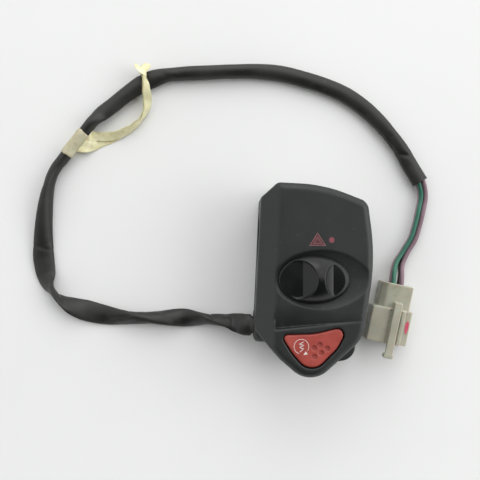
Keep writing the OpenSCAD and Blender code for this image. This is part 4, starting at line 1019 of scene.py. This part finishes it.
knobSet = {
    "middle": (0.2, -16.6), "half": (14.3, 9.7), "rim": (21.6, 22.0), "top": 27.4, "belly": 0.8,
    "crown": 1.2,  # 1 for a dome with a sharp rim, 2 for a full oval
    # scoops: middle x, radii along and across, side of the ridge, x of the fold, floor, bend of the ramp
    "scoops": [(-6.55, 8.0, 7.76, 1, -4.5, 22.4, 1.15), (10.75, 7.2, 7.2, -1, 7.6, 23.8, 1.4)],
    "corner": 0.9, "lip": 0.2,
    "stem": (3.0, 2.0, 8.8, 22.4), "stemSoft": 0.3, "stemJoin": 0.4,  # half sides, low and high end
    "bore": (1.05, 0, 16), "least": 1e-3,
    "from": 8.5, "to": 27.6, "grid": 0.2,
}


def knobField(x, y, z):
    s = knobSet
    (cx, cy), (a, b), (low, high) = s["middle"], s["half"], s["rim"]
    u, v = x - cx, y - cy
    rise, crown = s["top"] - high, s["crown"]
    above = np.maximum(z - high, 0) / rise
    dome = (u / a) ** 2 + (v / b) ** 2 + above ** crown - 1
    climb = crown * above ** (crown - 1) / rise
    dome = dome / np.sqrt((2 * u / a ** 2) ** 2 + (2 * v / b ** 2) ** 2 + climb ** 2 + s["least"])
    body = np.maximum(dome, ellipsoidField(u, v, np.minimum(z - low, 0), a, b, s["belly"]))
    for sx, rx, ry, side, fold, floor, bend in s["scoops"]:
        edge = (np.hypot((x - sx) / rx, v / ry) - 1) * ry
        climb, lift = rx + side * (sx - fold), s["top"] - floor
        ramp = floor + lift * np.maximum(side * (x - fold) / climb, 0) ** bend
        steep = np.where(side * (x - fold) > 0, math.hypot(1, lift / climb), 1)
        body = softMax(body, -softMax(edge, (ramp - z) / steep, s["corner"]), s["lip"])
    w, d, end, top = s["stem"]
    stem = boxField(x, y, z, cx - w, cx + w, cy - d, cy + d, end, top, s["stemSoft"])
    return np.maximum(softMin(body, stem, s["stemJoin"]), -rodZ(x, y, z, cx, cy, *s["bore"]))


def makeKnob():
    (cx, cy), (a, b) = knobSet["middle"], knobSet["half"]
    low, high = (cx - a, cy - b, knobSet["from"]), (cx + a, cy + b, knobSet["to"])
    piece = fieldMesh("slideKnob", knobField, low, high, knobSet["grid"])
    return dress(piece, "knobPlastic", "slide", ["slide_knob"])


slideKnob = makeKnob()


# Start button: a thin cap with a skirt, a flange that holds it in, and its plunger
def buttonField(x, y, z):
    s, top = buttonSet, buttonSet["top"]
    plan = planField(buttonPlan, x, y)
    below = s["low"] - z
    outer = np.maximum(roundEdge(plan, z - top, s["edge"]), below)
    out, thick, cut = s["flange"]
    rim = np.maximum(np.maximum(plan - out, cut - y), np.maximum(below, -below - thick))
    body = np.minimum(outer, rim)
    body = np.maximum(body, -np.maximum(plan + s["skirt"], z - top + s["cap"]))
    px, py, r, end = s["plunger"]
    body = np.minimum(body, rodZ(x, y, z, px, py, r, end, top - s["overlap"]))
    body = np.minimum(body, rodZ(x, y, z, px, py, *s["neck"], end + s["overlap"]))
    r, deep, soft, lip = s["dimple"]
    for dx, dy in s["dimples"]:
        out = np.hypot(x - buttonX - dx, y - buttonY - dy) - r
        body = softMax(body, -roundEdge(out, top - deep - z, soft), lip)
    return body


def makeButton():
    piece = fieldMesh("startButton", buttonField, buttonSet["from"], buttonSet["to"], buttonSet["grid"])
    return dress(piece, "buttonPlastic", "button", ["start_button"])


startButton = makeButton()
print("knob and button made:", len(slideKnob.data.polygons), len(startButton.data.polygons), "faces")

# Signs on the face and on the button, and a dab of paint on the connector

signSet = {
    # triangle: middle, height to width; reach of the outer and the inner one, their lines, middle hole
    "triangle": (1.45, -1.3, 0.92), "reach": (3.85, 2.0), "lines": (0.24, 0.192), "hub": 0.1,
    "dot": (7.1, -0.8, 1.1, 1.2), "dotSteps": 32,
    "ring": (-4.99, -43.53, 2.95, 0.21), "ringArc": (-34, 252, 48),  # from and to (degrees), steps
    "bolt": [(0.83, 1.88), (-0.88, 0.93), (1.03, 0.5), (-0.93, -0.38), (0.95, -0.8), (-0.55, -2.13)],
    "boltWide": 0.29, "arrow": [(0.72, -3.4), (2.64, -3.06), (1.72, -1.92)],
    "paint": [(-8.55, 15.6), (-7.5, 15.3), (-7.05, 17.4), (-7.3, 19.6), (-7.7, 21.2), (-8.4, 20.6),
              (-8.75, 18.2)],
    "thick": 0.03, "paintThick": 0.05,
}


# Flat print: outlines in plan raised a hair above the surface they are printed on
def printPatch(outlines, z, thick=signSet["thick"]):
    points, faces = [], []
    for line in outlines:
        n, start = len(line), len(points)
        points += [(x, y, z - thick) for x, y in line] + [(x, y, z + thick) for x, y in line]
        faces.append([start + n + i for i in range(n)])
        faces.append([start + i for i in reversed(range(n))])
        for i in range(n):
            j = (i + 1) % n
            faces.append([start + i, start + j, start + n + j, start + n + i])
    return points, faces


def addPrint(name, outlines, z, finish, body="housing"):
    dress(addMesh(name, *printPatch(outlines, z), smooth=False), finish, body)


# Ribbon along a line in plan, as closed four-sided pieces
def ribbon(line, width):
    p = np.asarray(line, float)
    t = np.gradient(p, axis=0)
    t /= np.linalg.norm(t, axis=1)[:, None]
    n = np.stack([-t[:, 1], t[:, 0]], 1) * width / 2
    return [[p[i] + n[i], p[i] - n[i], p[i + 1] - n[i + 1], p[i + 1] + n[i + 1]] for i in range(len(p) - 1)]


def triangleRing(reach, line):
    cx, cy, squat = signSet["triangle"]
    turns = [math.radians(a) for a in (90, 210, 330)]
    unit = [(math.cos(a), squat * math.sin(a)) for a in turns]
    outer, inner = ([(cx + r * x, cy + r * y) for x, y in unit] for r in (reach, reach - 2 * line))
    return [[outer[i], outer[i - 2], inner[i - 2], inner[i]] for i in range(3)]


def makeSigns():
    (reach, small), (line, thin) = signSet["reach"], signSet["lines"]
    field, core = reach - 2 * line, small - 2 * thin
    addPrint("hazardOutline", triangleRing(reach, line) + triangleRing(small, thin), faceZ, "paleInk")
    filled = triangleRing(field, (field - small) / 2) + triangleRing(core, core / 2 - signSet["hub"])
    addPrint("hazardSign", filled, faceZ, "redInk")
    x, y, rx, ry = signSet["dot"]
    turns = np.linspace(0, fullTurn, signSet["dotSteps"], endpoint=False)
    addPrint("positionDot", [[(x + rx * math.cos(t), y + ry * math.sin(t)) for t in turns]], faceZ, "dotInk")
    cx, cy, r, wide = signSet["ring"]
    turn = np.radians(np.linspace(*signSet["ringArc"]))
    parts = ribbon(np.stack([cx + r * np.cos(turn), cy + r * np.sin(turn)], 1), wide)
    bolt = np.array(signSet["bolt"]) + (cx, cy)
    for a, b in zip(bolt[:-1], bolt[1:]):
        parts += ribbon([a, b], signSet["boltWide"])
    parts.append([(cx + x, cy + y) for x, y in signSet["arrow"]])
    addPrint("startSign", parts, buttonSet["top"], "whiteInk", "button")
    ledge = plugSet["high"] - plugSet["step"][1]
    points, faces = printPatch([signSet["paint"]], ledge, signSet["paintThick"])
    dress(addMesh("paintDab", [fromPlug(*p) for p in points], faces, smooth=False), "paintMark")


makeSigns()

# Pieces inside the housing: the leads, and finishes for the rest

leadSet = {
    "diameter": 0.002, "fineness": 4, "step": 0.8,
    # each lead's hole in the grommet (y, z) with the points on its way there; x where it goes in and ends
    "routes": {
        (-37.55, -6.95): [(-2.8, -18.5, 0.5), (-3.5, -21, -2), (-4, -29, -5.5), (-5, -35, -6.9)],
        (-37.55, -9.05): [(3.2, -18.5, 0.5), (2.5, -21, -2), (0.5, -29, -7), (-2.5, -35.5, -8.9)],
        (-39.65, -6.95): [(-6, -44.9, -3.5), (-5.6, -43.4, -5.3), (-5.4, -40.6, -6.4)],
        (-39.65, -9.05): [(4, -44.9, -3.5), (3.4, -44.4, -5.5), (0, -43, -8), (-3.5, -41, -9)],
    },
    "holeX": (-6.6, -9.1),
}
nodeFinishes = {
    "rubber": ["cable_grommet"],
    "acetal": ["slide_carrier"],
    "pressedBoard": ["slide_base", "button_block"],
    "brass": ["slide_bridge", "slide_contacts", "button_bridge", "button_contacts", "connector_terminals"],
    "zincSteel": ["knob_screw", "slide_bridge_springs", "detent_ball", "detent_spring", "slide_base_screws",
                  "button_spring", "bridge_clip", "button_block_screws"],
}


def makeLeads():
    lines = []
    for hole, points in leadSet["routes"].items():
        lines.append(splined(points + [(x, *hole) for x in leadSet["holeX"]], leadSet["step"])[0] * mm)
    piece = addCurve("innerLeads", lines, leadSet["diameter"], leadSet["fineness"])
    dress(piece, "leadVinyl", stands=["inner_leads"])


makeLeads()
for finishName, nodes in nodeFinishes.items():
    for node in nodes:
        mesh = bpy.data.objects[node].data
        mesh.materials.clear()
        mesh.materials.append(finishes[finishName])
print("signs, leads and inner pieces made")

# Table and light: a pale table, two soft lamps, and a sky with a dark patch overhead

stageSet = {
    "half": 2.0, "table": (238, 239, 238), "drop": 0.02,  # half side (m), shade, gap below the part (mm)
    "clouds": (9, 4), "cloudSpan": (0.3, 0.7), "cloudDrop": 3,  # a shade this much darker in soft patches
    "sockets": {"Roughness": 0.75, "Specular IOR Level": 0.2},
    # where each lamp stands, the width of it and its power
    "lamps": [((-0.04, 0.56, 0.40), 0.40, 0.6), ((0.54, 0.04, 0.42), 0.40, 0.6)],
    "aim": (-0.02, 0.0, 0.0),
    # sky: level, gain to the right, gain to the top of the picture
    "sky": (1.38, 0.42, 0.22),
    # the dark patch: its direction (y, z), where it begins and where it is full, what light is left
    "shade": ((-0.58, 0.815), 0.64, 0.82, 0.05),
}


def madeOf(tree, kind, *values):
    node = tree.nodes.new("ShaderNodeMath")
    node.operation = kind
    for socket, value in zip(node.inputs, values):
        if isinstance(value, (int, float)):
            socket.default_value = value
        else:
            tree.links.new(value, socket)
    return node.outputs[0]


def makeTable():
    half, shade = stageSet["half"], stageSet["table"]
    corners = [(-half, -half, 0), (half, -half, 0), (half, half, 0), (-half, half, 0)]
    table = addMesh("table", corners, [[0, 1, 2, 3]], scale=1)
    table.location.z = (tableZ - stageSet["drop"]) * mm
    material, tree, shader = blankMaterial("tableTop")
    shades = (tuple(v - stageSet["cloudDrop"] for v in shade), shade)
    clouds = noiseNode(tree, *stageSet["clouds"])
    colour = rampNode(tree, clouds, list(zip(stageSet["cloudSpan"], shades)))
    tree.links.new(colour, shader.inputs["Base Color"])
    for socket, value in stageSet["sockets"].items():
        shader.inputs[socket].default_value = value
    table.data.materials.append(material)


def makeLight():
    for i, (spot, size, power) in enumerate(stageSet["lamps"]):
        lamp = bpy.data.lights.new("softLamp%d" % i, "AREA")
        lamp.shape, lamp.size, lamp.energy = "DISK", size, power
        light = addPiece(lamp.name, lamp)
        light.location = spot
        toward = Vector(stageSet["aim"]) - light.location
        light.rotation_euler = toward.to_track_quat("-Z", "Y").to_euler()
    world = bpy.data.worlds.new("dimSky")
    bpy.context.scene.world = world
    world.use_nodes = True
    tree = world.node_tree
    parts = tree.nodes.new("ShaderNodeSeparateXYZ")
    tree.links.new(tree.nodes.new("ShaderNodeTexCoord").outputs["Generated"], parts.inputs["Vector"])
    x, y, z = (parts.outputs[k] for k in "XYZ")
    level, right, top = stageSet["sky"]
    glow = madeOf(tree, "MULTIPLY_ADD", y, top, madeOf(tree, "MULTIPLY_ADD", x, right, level))
    (leanY, leanZ), inner, outer, dark = stageSet["shade"]
    near = madeOf(tree, "MULTIPLY_ADD", z, leanZ, madeOf(tree, "MULTIPLY", y, leanY))
    glow = madeOf(tree, "MULTIPLY", glow, rangeNode(tree, near, inner, outer, 1, dark))
    tree.links.new(glow, tree.nodes["Background"].inputs["Strength"])
    tree.nodes["Background"].inputs["Color"].default_value = (1, 1, 1, 1)
    bpy.context.scene.view_settings.view_transform = "Standard"


makeTable()
makeLight()
print("stage made")
